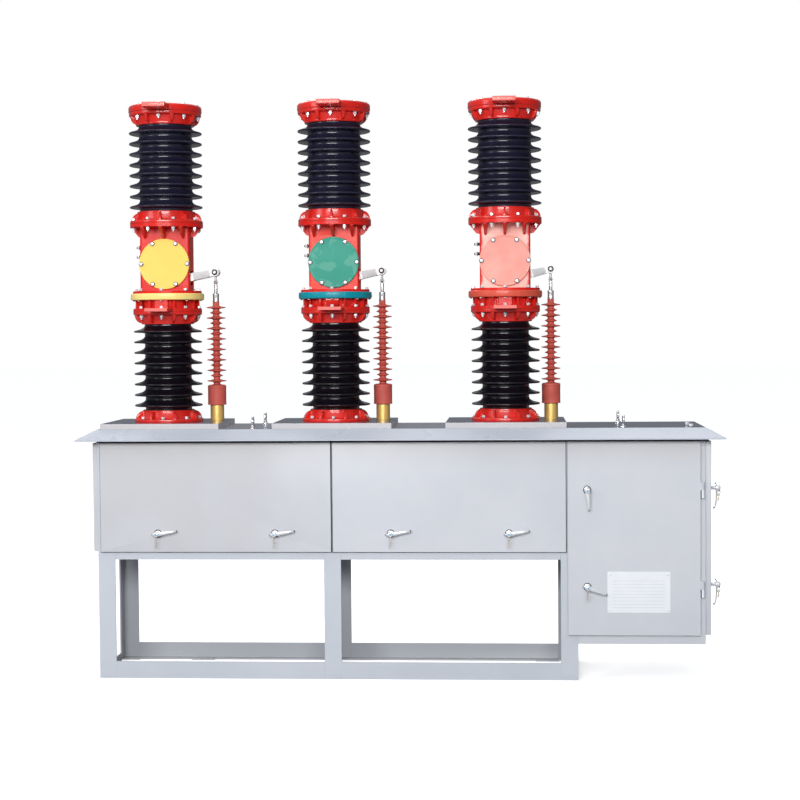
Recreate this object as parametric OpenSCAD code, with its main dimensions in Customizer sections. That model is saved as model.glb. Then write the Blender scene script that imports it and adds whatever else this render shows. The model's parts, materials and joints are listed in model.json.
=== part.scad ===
// Three-pole outdoor vacuum circuit breaker on a sheet-metal cabinet.
// Millimetres, +Z up, +Y away from the front, origin on the ground under the middle of the lid.

/* [Cabinet] */
// Width of the cabinet, without the end cover and the end door
cabinet_w = 2480; // [2300:10:2800]
// Depth of the cabinet
cabinet_d = 440; // [380:10:560]
// Height of the lid's flat top above the ground
lid_z = 1027; // [980:1:1240]
// Width of the left panel bay
bay_w = 969; // [880:1:1010]
// Width of the middle panel bay
mid_bay_w = 964; // [880:1:1010]
// Height of the open space under the panels
open_h = 492; // [400:2:600]
// Height of the underside of the mechanism box
box_z = 150; // [110:2:240]
// Thickness of the cabinet sheet
sheet = 3; // [2:0.5:4]
// Thickness of a door or panel, front to back
pan_t = 12; // [10:1:16]
// Gap round each panel
pan_gap = 4; // [3:0.5:6]

/* [Lid] */
// Overhang of the lid past the front and the back
lid_over_y = 70; // [60:1:90]
// Overhang of the lid past each end
lid_over_x = 75; // [70:1:95]
// Drop of the sloped skirt
skirt_drop = 39; // [30:1:60]
// Height of the upright lip under the skirt
lip_h = 5; // [4:1:24]

/* [Base frame] */
// Leg of the angle section
leg = 70; // [60:1:80]
// Thickness of the angle section
leg_t = 7; // [5:0.5:9]
// Depth of the level leg of the bottom rails
foot_leg = 32; // [28:1:60]
// Depth of an anchor tab, from the outside of the rail
tab_d = 46; // [40:1:60]
// Diameter of an anchor hole
anchor_d = 18; // [14:1:22]

/* [Poles] */
// Distance between two poles
phase_pitch = 710; // [640:5:740]
// Height of the lower insulator
lower_h = 359; // [300:5:440]
// Height of the upper insulator
upper_h = 357; // [300:5:440]
// Radius of the lower insulator over its sheds
lower_shed_r = 142; // [130:1:150]
// Radius of the lower insulator's core
lower_core_r = 97; // [90:1:105]
// Radius of the upper insulator over its sheds
upper_shed_r = 152; // [140:1:160]
// Radius of the upper insulator's core
upper_core_r = 110; // [100:1:118]
// Number of sheds on each insulator
sheds = 8; // [6:1:10]
// Width of the housing
housing_w = 209; // [190:1:230]
// Depth of the housing
housing_d = 108; // [100:1:130]
// Wall of the housing
housing_t = 8; // [6:1:10]
// Radius of the access cover
cover_r = 105.5; // [96:0.5:110]
// Width of a terminal pad
term_w = 93; // [88:1:110]
// Distance of a terminal pad's end in front of the pole's axis
term_reach = 249; // [235:1:260]

/* [Plinths] */
// Width of a plinth plate
plinth_w = 490; // [440:5:520]
// Depth of a plinth plate
plinth_d = 424; // [390:2:470]
// Thickness of a plinth plate
plinth_t = 23; // [16:1:30]

/* [Operating rods] */
// Distance of the rod to the right of the pole's axis
rod_x = 190; // [185:1:205]
// Distance of the rod behind the pole's axis
rod_y = 90; // [84:1:100]
// Length of the crank arm from its pivot to its pin, level
crank_l = 130; // [124:1:140]
// Slope of the crank arm at rest
crank_a = 15; // [10:1:16]
// Radius of the guide tube
tube_r = 29; // [26:1:32]
// Wall of the guide tube
tube_t = 4; // [3:0.5:5]
// Radius of the crank pin
pin_r = 8; // [6:0.5:9]

/* [Handles] */
// Length of a handle from its pivot to its tip
handle_l = 88; // [70:1:100]
// Distance of a flap's left handle from the flap's end
handle_in_left = 237; // [150:1:300]
// Distance of a flap's right handle from the flap's end
handle_in_right = 229; // [150:1:300]

/* [Hidden] */
$fn = 64;
e = 0.01;

// Plan of the cabinet
x_left = -cabinet_w / 2;
x_right = cabinet_w / 2;
y_front = -cabinet_d / 2;
y_rear = cabinet_d / 2;
x_split = [x_left + bay_w, x_left + bay_w + mid_bay_w];
pan_split = [x_split[0], x_split[1] - 10];
post_x = [x_left, x_split[0] - leg / 2, x_split[1] - leg / 2];
frame_right = post_x[2] + leg;
bays = [for (i = [0 : 1]) [post_x[i] + leg, post_x[i + 1]]];
pole_x = [x_split[0] - phase_pitch, x_split[0], x_split[0] + phase_pitch];
under_lid = lid_z - sheet;
tabs = [[x_left, x_left + 79], [x_left + 310, x_left + 407], [frame_right - 167, frame_right - 70]];
cross_low = 35;
floor_h = 38;
corner_w = 45;
corner_d = 24;
end_cover_t = 18;
end_cover_in = 4;
eye_x = [x_left + 642, x_left + 2154];
eye_y = 182;
eye_z = 30;
eye_foot = 12;
eye_mid_r = 16.5;
eye_wire_r = 4.8;
tube_clear = 0.3;

// Panels
pan_y = 0.5;
pan_top = lid_z - skirt_drop - lip_h - 11;
pan_low = open_h + 33;
box_pan_low = box_z + 37;
pan_sheet = 2.5;
hinge_r = 6;
hinge_pin_r = 3.5;
knuckle_l = 60;
flap_axis_z = pan_top + 8;
flap_axis_y = y_front - pan_y - pan_t / 2;
door_right = x_right - 22;
door_axis_x = x_right - 12;
door_axis_y = y_front - pan_y - pan_t + 1;
hinge_len = 66;
hinge_z = [box_pan_low + 154, pan_top - 230];
end_t = 22;
end_front = y_front + 8;
end_rear = y_rear - 22;
end_axis_x = x_right + pan_y + end_t - 1;
end_axis_y = y_rear - 12;

// Heights on a pole, from the top of its plinth
plinth_top = lid_z + plinth_t;
z_base = 50;
z_low_top = z_base + lower_h;
z_low_collar = z_low_top + 52;
z_neck = z_low_collar + 49;
z_ring = z_neck + 27;
z_housing = z_ring + 10;
housing_h = 266;
z_housing_top = z_housing + housing_h;
z_mid_joint = z_housing_top + 15;
z_mid_top = z_mid_joint + 52;
z_up_top = z_mid_top + upper_h;
z_cap = z_up_top + 54;
cap_h = 36;
cap_round = 9;
cover_z = z_housing + 113;
cover_t = 12;
flange_r = 143.5;
flange_t = 13;
big_flange_r = 152;
big_flange_t = 15;
ring_r = 153.5;
ring_bevel = 2;
neck_r = 118;
neck_web_r = 135;
web_t = 8;
gusset_h = 40;
gusset_t = 10;
lower_pad_t = 13;
upper_pad_t = 19;
term_y = -200;
term_hole = 7;
term_pitch = 50;
shed_first = 18;
shed_last = 31;

// Operating rod, from the top of the plinth
pin_z = z_housing + 81;
pivot_x = rod_x - crank_l;
pivot_z = pin_z - crank_l * tan(crank_a);
shaft_r = 12;
shaft_clear = 0.2;
eye_r = 16;
eye_t = 16;
fork_gap = 4;
arm_y = [-26, 36];
slot_clear = 6;
slot_h = 61;
slot_low = 22;
shaft_inset = 1;
window_r = 62;
boot_r = tube_r + 10.5;
boot_bore = tube_r + 5;
boot_low = 65;
boot_high = 149;
tube_top = 84;
rod_core_r = 13.6;
rod_shed_r = 40.5;
rod_small_r = 26;
rod_high = 502;
rod_shed_z = [167, 479];
ferrule_r = 13;
ferrule_h = 37;
stud_r = 7;

// Handles and door leaves
handle_z = open_h + 109;
handle_rise = 8;
spindle_r = 8;
spindle_clear = 0.3;
pan_in = 15;
flap_x = [[x_left + pan_in, pan_split[0] - pan_gap], [pan_split[0] + pan_gap, pan_split[1] - pan_gap]];
knuckle_in = 150;
mech_x = [pan_split[1] + pan_gap, door_right];
mech_handle_x = mech_x[0] + 78;
mech_handle_z = [box_pan_low + 197, pan_top - 195];
end_handle_y = y_front + 70;
knuckle_gap = 0.3;

// ---------- shared shapes ----------

module at_poles() { for (x = pole_x) translate([x, 0, plinth_top]) children(); }

// An angle bar of length l along Z, its outer corner on the axis
module angle_bar(l) linear_extrude(l)
    polygon([[0, 0], [leg, 0], [leg, leg_t], [leg_t, leg_t], [leg_t, leg], [0, leg]]);

// A post from the level leg of the bottom rail up to height top, turned over for the right-hand one
module post(x, top, flip) translate([flip ? x + leg : x, y_front, leg_t])
    mirror([flip ? 1 : 0, 0, 0]) angle_bar(top - leg_t);

// An angle rail along X on the front line: upright leg in front, level leg of depth d at the foot
module rail(x0, x1, z, d) translate([x0, y_front, z]) rotate([90, 0, 90])
    linear_extrude(x1 - x0) polygon([[0, 0], [d, 0], [d, leg_t], [leg_t, leg_t], [leg_t, leg], [0, leg]]);

module both_sides() { children(); mirror([0, 1, 0]) children(); }

// A shallow sheet pan in the XZ plane, its face forward and its back open
module pan(x0, x1, z0, z1, t) difference() {
    translate([x0, -t, z0]) cube([x1 - x0, t, z1 - z0]);
    translate([x0 + pan_sheet, pan_sheet - t, z0 + pan_sheet])
        cube([x1 - x0 - 2 * pan_sheet, t, z1 - z0 - 2 * pan_sheet]);
}

// ---------- base frame ----------

module front_posts() color("gainsboro") {
    for (i = [0 : 2]) post(post_x[i], under_lid - leg, i == 2);
}

module rear_posts() color("gainsboro") mirror([0, 1, 0]) {
    for (i = [0 : 2]) post(post_x[i], under_lid - leg, i == 2);
}

// Bottom rails: a level leg under the posts, upright legs between them, and the anchor tabs
module lower_rails() color("gainsboro") both_sides() difference() {
    union() {
        translate([x_left, y_front, 0]) cube([frame_right - x_left, foot_leg, leg_t]);
        for (b = bays) rail(b[0], b[1], 0, foot_leg);
        for (t = tabs) translate([t[0], y_front + leg_t, 0]) cube([t[1] - t[0], tab_d - leg_t, leg_t]);
    }
    for (t = tabs) translate([(t[0] + t[1]) / 2, y_front + (leg_t + tab_d) / 2, -1])
        cylinder(d = anchor_d, h = leg_t + 2);
}

module middle_rails() color("gainsboro") both_sides() for (b = bays) rail(b[0], b[1], open_h, leg);

module upper_rails() color("gainsboro") both_sides()
    translate([0, 0, under_lid]) mirror([0, 0, 1]) rail(x_left, x_right, 0, leg);

// Flat bars that tie the front row to the rear row, low ones on the ground and deeper ones under the cabinet
module cross_rails() color("gainsboro") for (i = [0 : 2], low = [true, false])
    translate([i == 2 ? frame_right - leg_t : post_x[i], y_front + leg, low ? 0 : open_h + leg_t])
        cube([leg_t, cabinet_d - 2 * leg, low ? cross_low : leg - leg_t]);

// ---------- cabinet ----------

module cabinet_floor() color("lightgray") for (i = [0 : 1])
    translate([post_x[i] + leg, y_front + leg_t, open_h + leg_t])
        cube([post_x[i + 1] - post_x[i] - leg, cabinet_d - 2 * leg_t, sheet]);

module mechanism_floor() color("lightgray") difference() {
    translate([frame_right, y_front, box_z]) cube([x_right - frame_right, cabinet_d, floor_h]);
    translate([frame_right - 1, y_front + sheet, box_z + sheet])
        cube([x_right - frame_right - sheet + 1, cabinet_d - 2 * sheet, floor_h]);
}

module mechanism_wall() color("lightgray")
    translate([frame_right, y_front + leg_t, box_z + sheet])
        cube([sheet, cabinet_d - 2 * leg_t, under_lid - leg_t - box_z - sheet]);

module mechanism_corner_posts() color("lightgray") both_sides()
    translate([x_right - corner_w, y_front, box_z + floor_h]) difference() {
        cube([corner_w, corner_d, under_lid - leg - box_z - floor_h]);
        translate([-1, sheet, -1]) cube([corner_w + 1 - sheet, corner_d, under_lid]);
    }

module end_cover() color("lightgray") difference() {
    translate([x_left - end_cover_t, y_front + end_cover_in, pan_low])
        cube([end_cover_t, cabinet_d - 2 * end_cover_in, pan_top - pan_low]);
    translate([x_left - end_cover_t + pan_sheet, y_front + end_cover_in + pan_sheet, pan_low + pan_sheet])
        cube([end_cover_t, cabinet_d - 2 * (end_cover_in + pan_sheet), pan_top - pan_low - 2 * pan_sheet]);
}

module rear_panels() color("lightgray") mirror([0, 1, 0]) translate([0, y_front, 0]) {
    for (span = flap_x) pan(span[0], span[1], pan_low, pan_top, pan_t);
    pan(mech_x[0], mech_x[1], box_pan_low, pan_top, pan_t);
}

// One sloped skirt with its lip, along X, in front of a flat of half length a
module skirt(a, side, over, over_side) intersection() {
    translate([-a - over_side, 0, 0]) rotate([90, 0, 90]) linear_extrude(2 * (a + over_side))
        polygon([[side, 0], [side - over, -skirt_drop], [side - over, -skirt_drop - lip_h],
                 [side - over + sheet, -skirt_drop - lip_h], [side - over + sheet, -skirt_drop + sheet * 0.1],
                 [side, -sheet - 0.4]]);
    translate([0, 0, -skirt_drop - lip_h - 1]) linear_extrude(skirt_drop + lip_h + 2)
        polygon([[-a, side], [a, side], [a + over_side, side - over], [-a - over_side, side - over]]);
}

module lid() color("lightgray") difference() {
    translate([0, 0, lid_z]) {
        translate([x_left, y_front, -sheet]) cube([cabinet_w, cabinet_d, sheet]);
        skirt(cabinet_w / 2, y_front, lid_over_y, lid_over_x);
        mirror([0, 1, 0]) skirt(cabinet_w / 2, y_front, lid_over_y, lid_over_x);
        rotate(-90) skirt(cabinet_d / 2, x_left, lid_over_x, lid_over_y);
        rotate(90) skirt(cabinet_d / 2, x_left, lid_over_x, lid_over_y);
    }
    for (x = pole_x) translate([x + rod_x, rod_y, lid_z - sheet - 1])
        cylinder(r = tube_r + tube_clear, h = sheet + 2);
}

// An eye bolt: cone foot and ring, the ring in the YZ plane
module eye_bolt() {
    cylinder(r1 = 13, r2 = 7.5, h = eye_foot);
    translate([0, 0, eye_z]) rotate([0, 90, 0]) rotate_extrude() translate([eye_mid_r, 0])
        circle(r = eye_wire_r, $fn = 24);
}

module lifting_eyes() color("silver") for (x = eye_x, y = [-eye_y, eye_y]) translate([x, y, lid_z]) eye_bolt();

module plinths() color("lightgray") for (x = pole_x) translate([x, 0, lid_z]) difference() {
    translate([-plinth_w / 2, -plinth_d / 2, 0]) cube([plinth_w, plinth_d, plinth_t]);
    translate([rod_x, rod_y, -1]) cylinder(r = tube_r + tube_clear, h = plinth_t + 2);
}

// ---------- poles ----------

// A ribbed collar between a flange and the insulator: flange below, cup above, eight ribs from angle a
module collar(flange, flange_h, cup_r, h, a) {
    toe = flange_h + 2;
    root = cup_r - 3;
    reach = flange - 5 - root;
    rise = h - 5 - toe;
    rotate_extrude() polygon([[0, 0], [flange, 0], [flange, flange_h], [cup_r, flange_h], [cup_r, h], [0, h]]);
    for (i = [0 : 7]) rotate(45 * i + a) rotate([90, 0, 0]) translate([0, 0, -web_t / 2]) linear_extrude(web_t)
        polygon(concat([[root - 3, flange_h - 1], [root + reach, flange_h - 1]],
            [for (t = [0 : 15 : 90]) [root + reach * cos(t), toe + rise * sin(t)]], [[root - 3, toe + rise]]));
}

// A shedded insulator: flat undersides, rounded tips, hollow tops that run out on the core
module insulator(core, shed, h) {
    pitch = (h - shed_first - shed_last) / (sheds - 1);
    reach = shed - core;
    rotate_extrude() polygon(concat([[0, 0], [core, 0]],
        [for (i = [0 : sheds - 1]) for (p = [[0, -5], [reach - 3, -3], [reach - 0.6, -1.6], [reach, 0],
                                             [reach - 0.8, 1.6], [0.55 * reach, 6], [0.2 * reach, 12], [0, 24]])
            [core + p[0], shed_first + i * pitch + p[1]]],
        [[core, h], [0, h]]));
}

module base_flanges() color("firebrick") at_poles() collar(flange_r, flange_t, 110, z_base, 22.5);

module lower_insulators() color([0.1, 0.07, 0.06]) at_poles() translate([0, 0, z_base])
    insulator(lower_core_r, lower_shed_r, lower_h);

module lower_collars() color("firebrick") at_poles() translate([0, 0, z_low_collar]) mirror([0, 0, 1])
    collar(flange_r, flange_t, 113, z_low_collar - z_low_top, 22.5);

// Four bolt holes in a terminal pad of thickness t
module terminal_holes(t) for (dx = [-0.5, 0.5], dy = [-0.5, 0.5])
    translate([dx * term_pitch, term_y + dy * term_pitch, -1]) cylinder(r = term_hole, h = t + 2);

// A terminal pad that reaches forward from a flange
module terminal_pad(t) difference() {
    translate([-term_w / 2, -term_reach, 0]) cube([term_w, term_reach, t]);
    terminal_holes(t);
}

// Flange with the lower terminal pad, webbed neck and the boss over the pad
module terminal_necks() color("firebrick") at_poles() translate([0, 0, z_low_collar]) {
    h = z_neck - z_low_collar;
    cylinder(r = flange_r, h = lower_pad_t);
    cylinder(r = neck_r, h = h);
    for (i = [0 : 15]) if (i != 12) rotate(22.5 * i) translate([neck_r - 6, -web_t / 2, 0])
        cube([neck_web_r - neck_r + 6, web_t, h]);
    translate([-26.5, -neck_web_r + 1, 0]) cube([53, 40, h]);
    terminal_pad(lower_pad_t);
}

module phase_ring(i, tint) color(tint) translate([pole_x[i], 0, plinth_top + z_neck]) {
    h = z_ring - z_neck;
    rotate_extrude() polygon([[0, 0], [ring_r - ring_bevel, 0], [ring_r, ring_bevel], [ring_r, h - ring_bevel],
                              [ring_r - ring_bevel, h], [0, h]]);
}

// A housing: foot flange, hollow box, top flange and the gussets under it
module housings() color("tomato") at_poles() translate([0, 0, z_ring]) {
    foot = z_housing - z_ring;
    top = foot + housing_h;
    w = housing_w;
    d = housing_d;
    t = housing_t;
    difference() {
        union() {
            cylinder(r = flange_r, h = foot);
            translate([-w / 2, -d / 2, 0]) cube([w, d, top]);
            translate([0, 0, top]) cylinder(r = big_flange_r, h = big_flange_t);
            for (x = [-80, 0, 80]) both_sides() translate([x, -d / 2, top])
                gusset(sqrt(pow(big_flange_r - 6, 2) - x * x) - d / 2);
            for (a = [0, 180]) rotate(a) translate([w / 2, 0, top]) rotate(90) gusset(big_flange_r - 6 - w / 2);
        }
        translate([t - w / 2, t - d / 2, foot + t]) cube([w - 2 * t, d - 2 * t, housing_h - 2 * t]);
        translate([0, -d / 2 - 1, cover_z - z_ring]) rotate([-90, 0, 0]) cylinder(r = window_r, h = t + 2);
        translate([w / 2 - t - 1, arm_y[0] - slot_clear, pivot_z - slot_low - z_ring])
            cube([t + 2, arm_y[1] - arm_y[0] + 2 * slot_clear, slot_h]);
        translate([pivot_x, -d / 2 - 1, pivot_z - z_ring]) rotate([-90, 0, 0])
            cylinder(r = shaft_r + shaft_clear, h = d + 2);
    }
}

// A three-cornered web under a flange, against a wall on the XZ plane, reaching l towards -Y
module gusset(l) rotate([90, 0, 90]) translate([0, 0, -gusset_t / 2]) linear_extrude(gusset_t)
    polygon([[1, 1], [1, -gusset_h], [0, -gusset_h], [-l * 0.35, 3 - gusset_h], [-l, -4], [-l, 1]]);

module middle_collars() color("firebrick") at_poles() translate([0, 0, z_mid_joint])
    collar(big_flange_r, flange_t, 121, z_mid_top - z_mid_joint, 0);

module upper_insulators() color([0.1, 0.07, 0.06]) at_poles() translate([0, 0, z_mid_top])
    insulator(upper_core_r, upper_shed_r, upper_h);

module top_collars() color("firebrick") at_poles() translate([0, 0, z_cap]) mirror([0, 0, 1])
    collar(big_flange_r - 2, big_flange_t, 123.5, z_cap - z_up_top, 22.5);

// Round-edged cap with the upper terminal pad at its foot
module top_caps() color("firebrick") at_poles() translate([0, 0, z_cap]) {
    r = big_flange_r - cap_round;
    rotate_extrude() polygon(concat([[0, 0], [big_flange_r, 0]],
        [for (t = [0 : 15 : 90]) [r + cap_round * cos(t), cap_h - cap_round + cap_round * sin(t)]], [[0, cap_h]]));
    terminal_pad(upper_pad_t);
}

module access_cover(i, tint) color(tint)
    translate([pole_x[i], -housing_d / 2, plinth_top + cover_z]) rotate([90, 0, 0]) difference() {
        cylinder(r = cover_r, h = cover_t, $fn = 96);
        translate([0, 0, -1]) cylinder(r = window_r - 6, h = 5);
    }

// ---------- operating rods ----------

module guide_tubes() color("goldenrod") at_poles() translate([rod_x, rod_y, -70]) difference() {
    cylinder(r = tube_r, h = 70 + tube_top);
    translate([0, 0, -1]) cylinder(r = tube_r - tube_t, h = 72 + tube_top);
}

// Crank: shaft and hub in the housing, a tapering arm through its side and a fork with the pin
module crank_arm(i) color("silver") translate([pole_x[i] + pivot_x, 0, plinth_top + pivot_z]) {
    reach = crank_l / cos(crank_a);
    inner = housing_d / 2 - housing_t - 2;
    neck = housing_w / 2 - housing_t - pivot_x - 5;
    hub = min(18, neck - 2);
    clear = housing_w / 2 - pivot_x + 11.5;
    rotate([90, 0, 0]) translate([0, 0, shaft_inset - housing_d / 2])
        cylinder(r = shaft_r, h = housing_d - 2 * shaft_inset);
    rotate([0, -crank_a, 0]) difference() {
        intersection() {
            rotate([90, 0, 0]) translate([0, 0, -150]) linear_extrude(250) union() {
                circle(r = 18);
                polygon([[0, -18], [reach, -13], [reach, 13], [0, 18]]);
                translate([reach, 0]) circle(r = 17);
            }
            translate([0, 0, -40]) linear_extrude(80) polygon([[-20, -inner], [hub, -inner], [neck, arm_y[0]],
                [clear, arm_y[0]], [reach - 22, rod_y - 22], [reach + 20, rod_y - 22], [reach + 20, rod_y + 22],
                [reach - 26, rod_y + 22], [clear + 4, arm_y[1]], [neck, arm_y[1]], [hub, inner], [-20, inner]]);
        }
        translate([reach - 24, rod_y - eye_t / 2 - fork_gap / 2, -20]) cube([50, eye_t + fork_gap, 40]);
    }
    translate([crank_l, rod_y - 27, crank_l * tan(crank_a)]) rotate([-90, 0, 0]) cylinder(r = pin_r, h = 54);
}

// Silicone-covered rod with its sheds and the boot over the guide tube
module operating_rod(i) color("indianred") translate([pole_x[i] + rod_x, rod_y, plinth_top]) {
    low = 156;
    pitch = (rod_shed_z[1] - rod_shed_z[0]) / 7;
    rotate_extrude($fn = 48) polygon(concat(
        [[0, -30], [12, -30], [12, boot_high - 8], [boot_bore, boot_high - 8], [boot_bore, boot_low],
         [boot_r, boot_low], [boot_r, boot_high - 4], [boot_r - 4, boot_high], [rod_core_r, low]],
        [for (k = [0 : 14]) let (z = rod_shed_z[0] + k * pitch / 2, r = k % 2 == 0 ? rod_shed_r : rod_small_r)
            for (p = [[rod_core_r, -7], [r, -2], [r, 1], [rod_core_r, 5]]) [p[0], z + p[1]]],
        [[rod_core_r, rod_high], [0, rod_high]]));
}

// Steel end fitting, stud, lock nut and the eye on the crank pin
module rod_end(i) color("dimgray") translate([pole_x[i] + rod_x, rod_y, plinth_top]) {
    difference() {
        union() {
            translate([0, 0, rod_high]) cylinder(r = ferrule_r, h = ferrule_h);
            translate([0, 0, rod_high + ferrule_h]) cylinder(r = stud_r, h = pin_z - rod_high - ferrule_h);
            translate([0, 0, rod_high + 80]) cylinder(r = 13, h = 11, $fn = 6);
            translate([0, -eye_t / 2, pin_z]) rotate([-90, 0, 0]) cylinder(r = eye_r, h = eye_t);
        }
        translate([0, -eye_t, pin_z]) rotate([-90, 0, 0]) cylinder(r = pin_r + 0.2, h = 2 * eye_t);
    }
}

// ---------- doors ----------

// Where the two knuckles along a flap's top edge start
function knuckle_x(span) = [span[0] + knuckle_in, span[1] - knuckle_in - knuckle_l];

// Where the two handles of a flap sit
function flap_handle_x(span) = [span[0] + handle_in_left, span[1] - handle_in_right];

// A round bar along X on the flap hinge line
module hinge_bar(x, r, l) translate([x, flap_axis_y, flap_axis_z]) rotate([0, 90, 0])
    cylinder(r = r, h = l, $fn = 32);

// A top-hung panel with its two hinge knuckles and the holes for its handles
module flap(span) difference() {
    union() {
        translate([0, y_front - pan_y, 0]) pan(span[0], span[1], pan_low, pan_top, pan_t);
        for (x = knuckle_x(span)) {
            hinge_bar(x, hinge_r, knuckle_l);
            translate([x, flap_axis_y - 1.5, pan_top - pan_sheet]) cube([knuckle_l, 3, flap_axis_z - pan_top]);
        }
    }
    for (x = knuckle_x(span)) hinge_bar(x - 1, hinge_pin_r + shaft_clear, knuckle_l + 2);
    for (x = flap_handle_x(span)) spindle_hole(x, handle_z);
}

module spindle_hole(x, z) translate([x, y_front + 1, z]) rotate([90, 0, 0]) 
    cylinder(r = spindle_r + spindle_clear, h = 30);

module flap_left() color("lightgray") flap(flap_x[0]);
module flap_middle() color("lightgray") flap(flap_x[1]);

// Fixed pins and brackets of the flaps, fixed knuckles of the two side-hung doors
module hinge_brackets() color("lightgray") {
    for (span = flap_x, x = knuckle_x(span)) {
        hinge_bar(x - 12, hinge_pin_r, knuckle_l + 24);
        for (dx = [-12, knuckle_l + 6]) {
            hinge_bar(x + dx, hinge_r, 6);
            translate([x + dx, flap_axis_y, flap_axis_z - hinge_r]) cube([6, y_front - flap_axis_y, 2 * hinge_r]);
        }
    }
    for (z = hinge_z) {
        translate([door_axis_x, door_axis_y, z]) cylinder(r = hinge_pin_r, h = hinge_len, $fn = 32);
        translate([door_axis_x, door_axis_y, z]) cylinder(r = hinge_r, h = hinge_len / 2, $fn = 32);
        translate([door_axis_x - 1, door_axis_y, z]) cube([4, y_front - door_axis_y, hinge_len / 2]);
    }
    for (z = hinge_z) {
        translate([end_axis_x, end_axis_y, z]) cylinder(r = hinge_pin_r, h = hinge_len, $fn = 32);
        translate([end_axis_x, end_axis_y, z]) cylinder(r = hinge_r, h = hinge_len / 2, $fn = 32);
        translate([x_right, end_axis_y - 1, z]) cube([end_axis_x - x_right, 4, hinge_len / 2]);
    }
}

module mechanism_door() color("lightgray") difference() {
    union() {
        translate([0, y_front - pan_y, 0]) pan(mech_x[0], mech_x[1], box_pan_low, pan_top, pan_t);
        for (z = hinge_z) {
            translate([door_axis_x, door_axis_y, z + hinge_len / 2 + knuckle_gap])
                cylinder(r = hinge_r, h = hinge_len / 2 - knuckle_gap, $fn = 32);
            translate([mech_x[1] - 2, door_axis_y - 1, z + hinge_len / 2 + knuckle_gap])
                cube([door_axis_x - mech_x[1] + 2, 3, hinge_len / 2 - knuckle_gap]);
        }
    }
    for (z = hinge_z) translate([door_axis_x, door_axis_y, z - 1])
        cylinder(r = hinge_pin_r + shaft_clear, h = hinge_len + 2, $fn = 32);
    for (z = mech_handle_z) spindle_hole(mech_handle_x, z);
}

module end_door() color("lightgray") difference() {
    union() {
        translate([x_right + pan_y, 0, 0]) rotate(90) pan(end_front, end_rear, box_pan_low, pan_top, end_t);
        for (z = hinge_z) {
            translate([end_axis_x, end_axis_y, z + hinge_len / 2 + knuckle_gap])
                cylinder(r = hinge_r, h = hinge_len / 2 - knuckle_gap, $fn = 32);
            translate([end_axis_x - 2, end_rear - 2, z + hinge_len / 2 + knuckle_gap])
                cube([3, end_axis_y - end_rear + 2, hinge_len / 2 - knuckle_gap]);
        }
    }
    for (z = hinge_z) translate([end_axis_x, end_axis_y, z - 1])
        cylinder(r = hinge_pin_r + shaft_clear, h = hinge_len + 2, $fn = 32);
    for (z = mech_handle_z) translate([x_right - 1, end_handle_y, z]) rotate([0, 90, 0])
        cylinder(r = spindle_r + spindle_clear, h = 40);
}

module nameplate() color("aliceblue")
    translate([mech_x[0] + 158, y_front - pan_y - pan_t - 1.5, box_pan_low + 92]) cube([253, 1.5, 167]);

// A swing handle: rosette, spindle and a lever at angle a, facing -Y
module handle(a) {
    rotate([90, 0, 0]) {
        translate([0, 0, 0.3]) cylinder(r = 17, h = 7);
        translate([0, 0, -pan_sheet - 7.3]) cylinder(r = spindle_r, h = pan_sheet + 33);
        translate([0, 0, -pan_sheet - 5.3]) cylinder(r = 13, h = 5, $fn = 6);
        rotate(a) translate([0, 0, 20]) linear_extrude(12) hull() {
            circle(r = 16, $fn = 32);
            translate([handle_l - 8, 0]) circle(r = 8, $fn = 32);
        }
    }
}

module front_handle(x, z, a) color("silver") translate([x, y_front - pan_y - pan_t, z]) handle(a);
module end_handle(z, a) color("silver") translate([x_right + pan_y + end_t, end_handle_y, z]) rotate(90) handle(a);

front_posts();
rear_posts();
lower_rails();
middle_rails();
upper_rails();
cross_rails();
cabinet_floor();
mechanism_floor();
mechanism_wall();
mechanism_corner_posts();
end_cover();
rear_panels();
lid();
lifting_eyes();
plinths();
base_flanges();
lower_insulators();
lower_collars();
terminal_necks();
housings();
middle_collars();
upper_insulators();
top_collars();
top_caps();
guide_tubes();
phase_ring(0, "khaki");  // phase_ring_left
phase_ring(1, "teal");  // phase_ring_middle
phase_ring(2, "orangered");  // phase_ring_right
access_cover(0, "khaki");  // access_cover_left
access_cover(1, "mediumseagreen");  // access_cover_middle
access_cover(2, "lightpink");  // access_cover_right
crank_arm(0);  // crank_arm_left
crank_arm(1);  // crank_arm_middle
crank_arm(2);  // crank_arm_right
operating_rod(0);  // operating_rod_left
operating_rod(1);  // operating_rod_middle
operating_rod(2);  // operating_rod_right
rod_end(0);  // rod_end_left
rod_end(1);  // rod_end_middle
rod_end(2);  // rod_end_right
flap_left();
flap_middle();
mechanism_door();
end_door();
hinge_brackets();
nameplate();
front_handle(flap_handle_x(flap_x[0])[0], handle_z, handle_rise);  // flap_left_handle_a
front_handle(flap_handle_x(flap_x[0])[1], handle_z, handle_rise);  // flap_left_handle_b
front_handle(flap_handle_x(flap_x[1])[0], handle_z, handle_rise);  // flap_middle_handle_a
front_handle(flap_handle_x(flap_x[1])[1], handle_z, handle_rise);  // flap_middle_handle_b
front_handle(mech_handle_x, mech_handle_z[1], -85);  // mechanism_handle_upper
front_handle(mech_handle_x, mech_handle_z[0], -21);  // mechanism_handle_lower
end_handle(mech_handle_z[1], -90);  // end_handle_upper
end_handle(mech_handle_z[0], -90);  // end_handle_lower
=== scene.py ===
"""Looks of a three-pole outdoor vacuum circuit breaker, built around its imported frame."""

import json
import random
from math import cos, degrees, pi, radians, sin, sqrt

import bmesh
import bpy
from mathutils import Matrix, Vector

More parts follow.
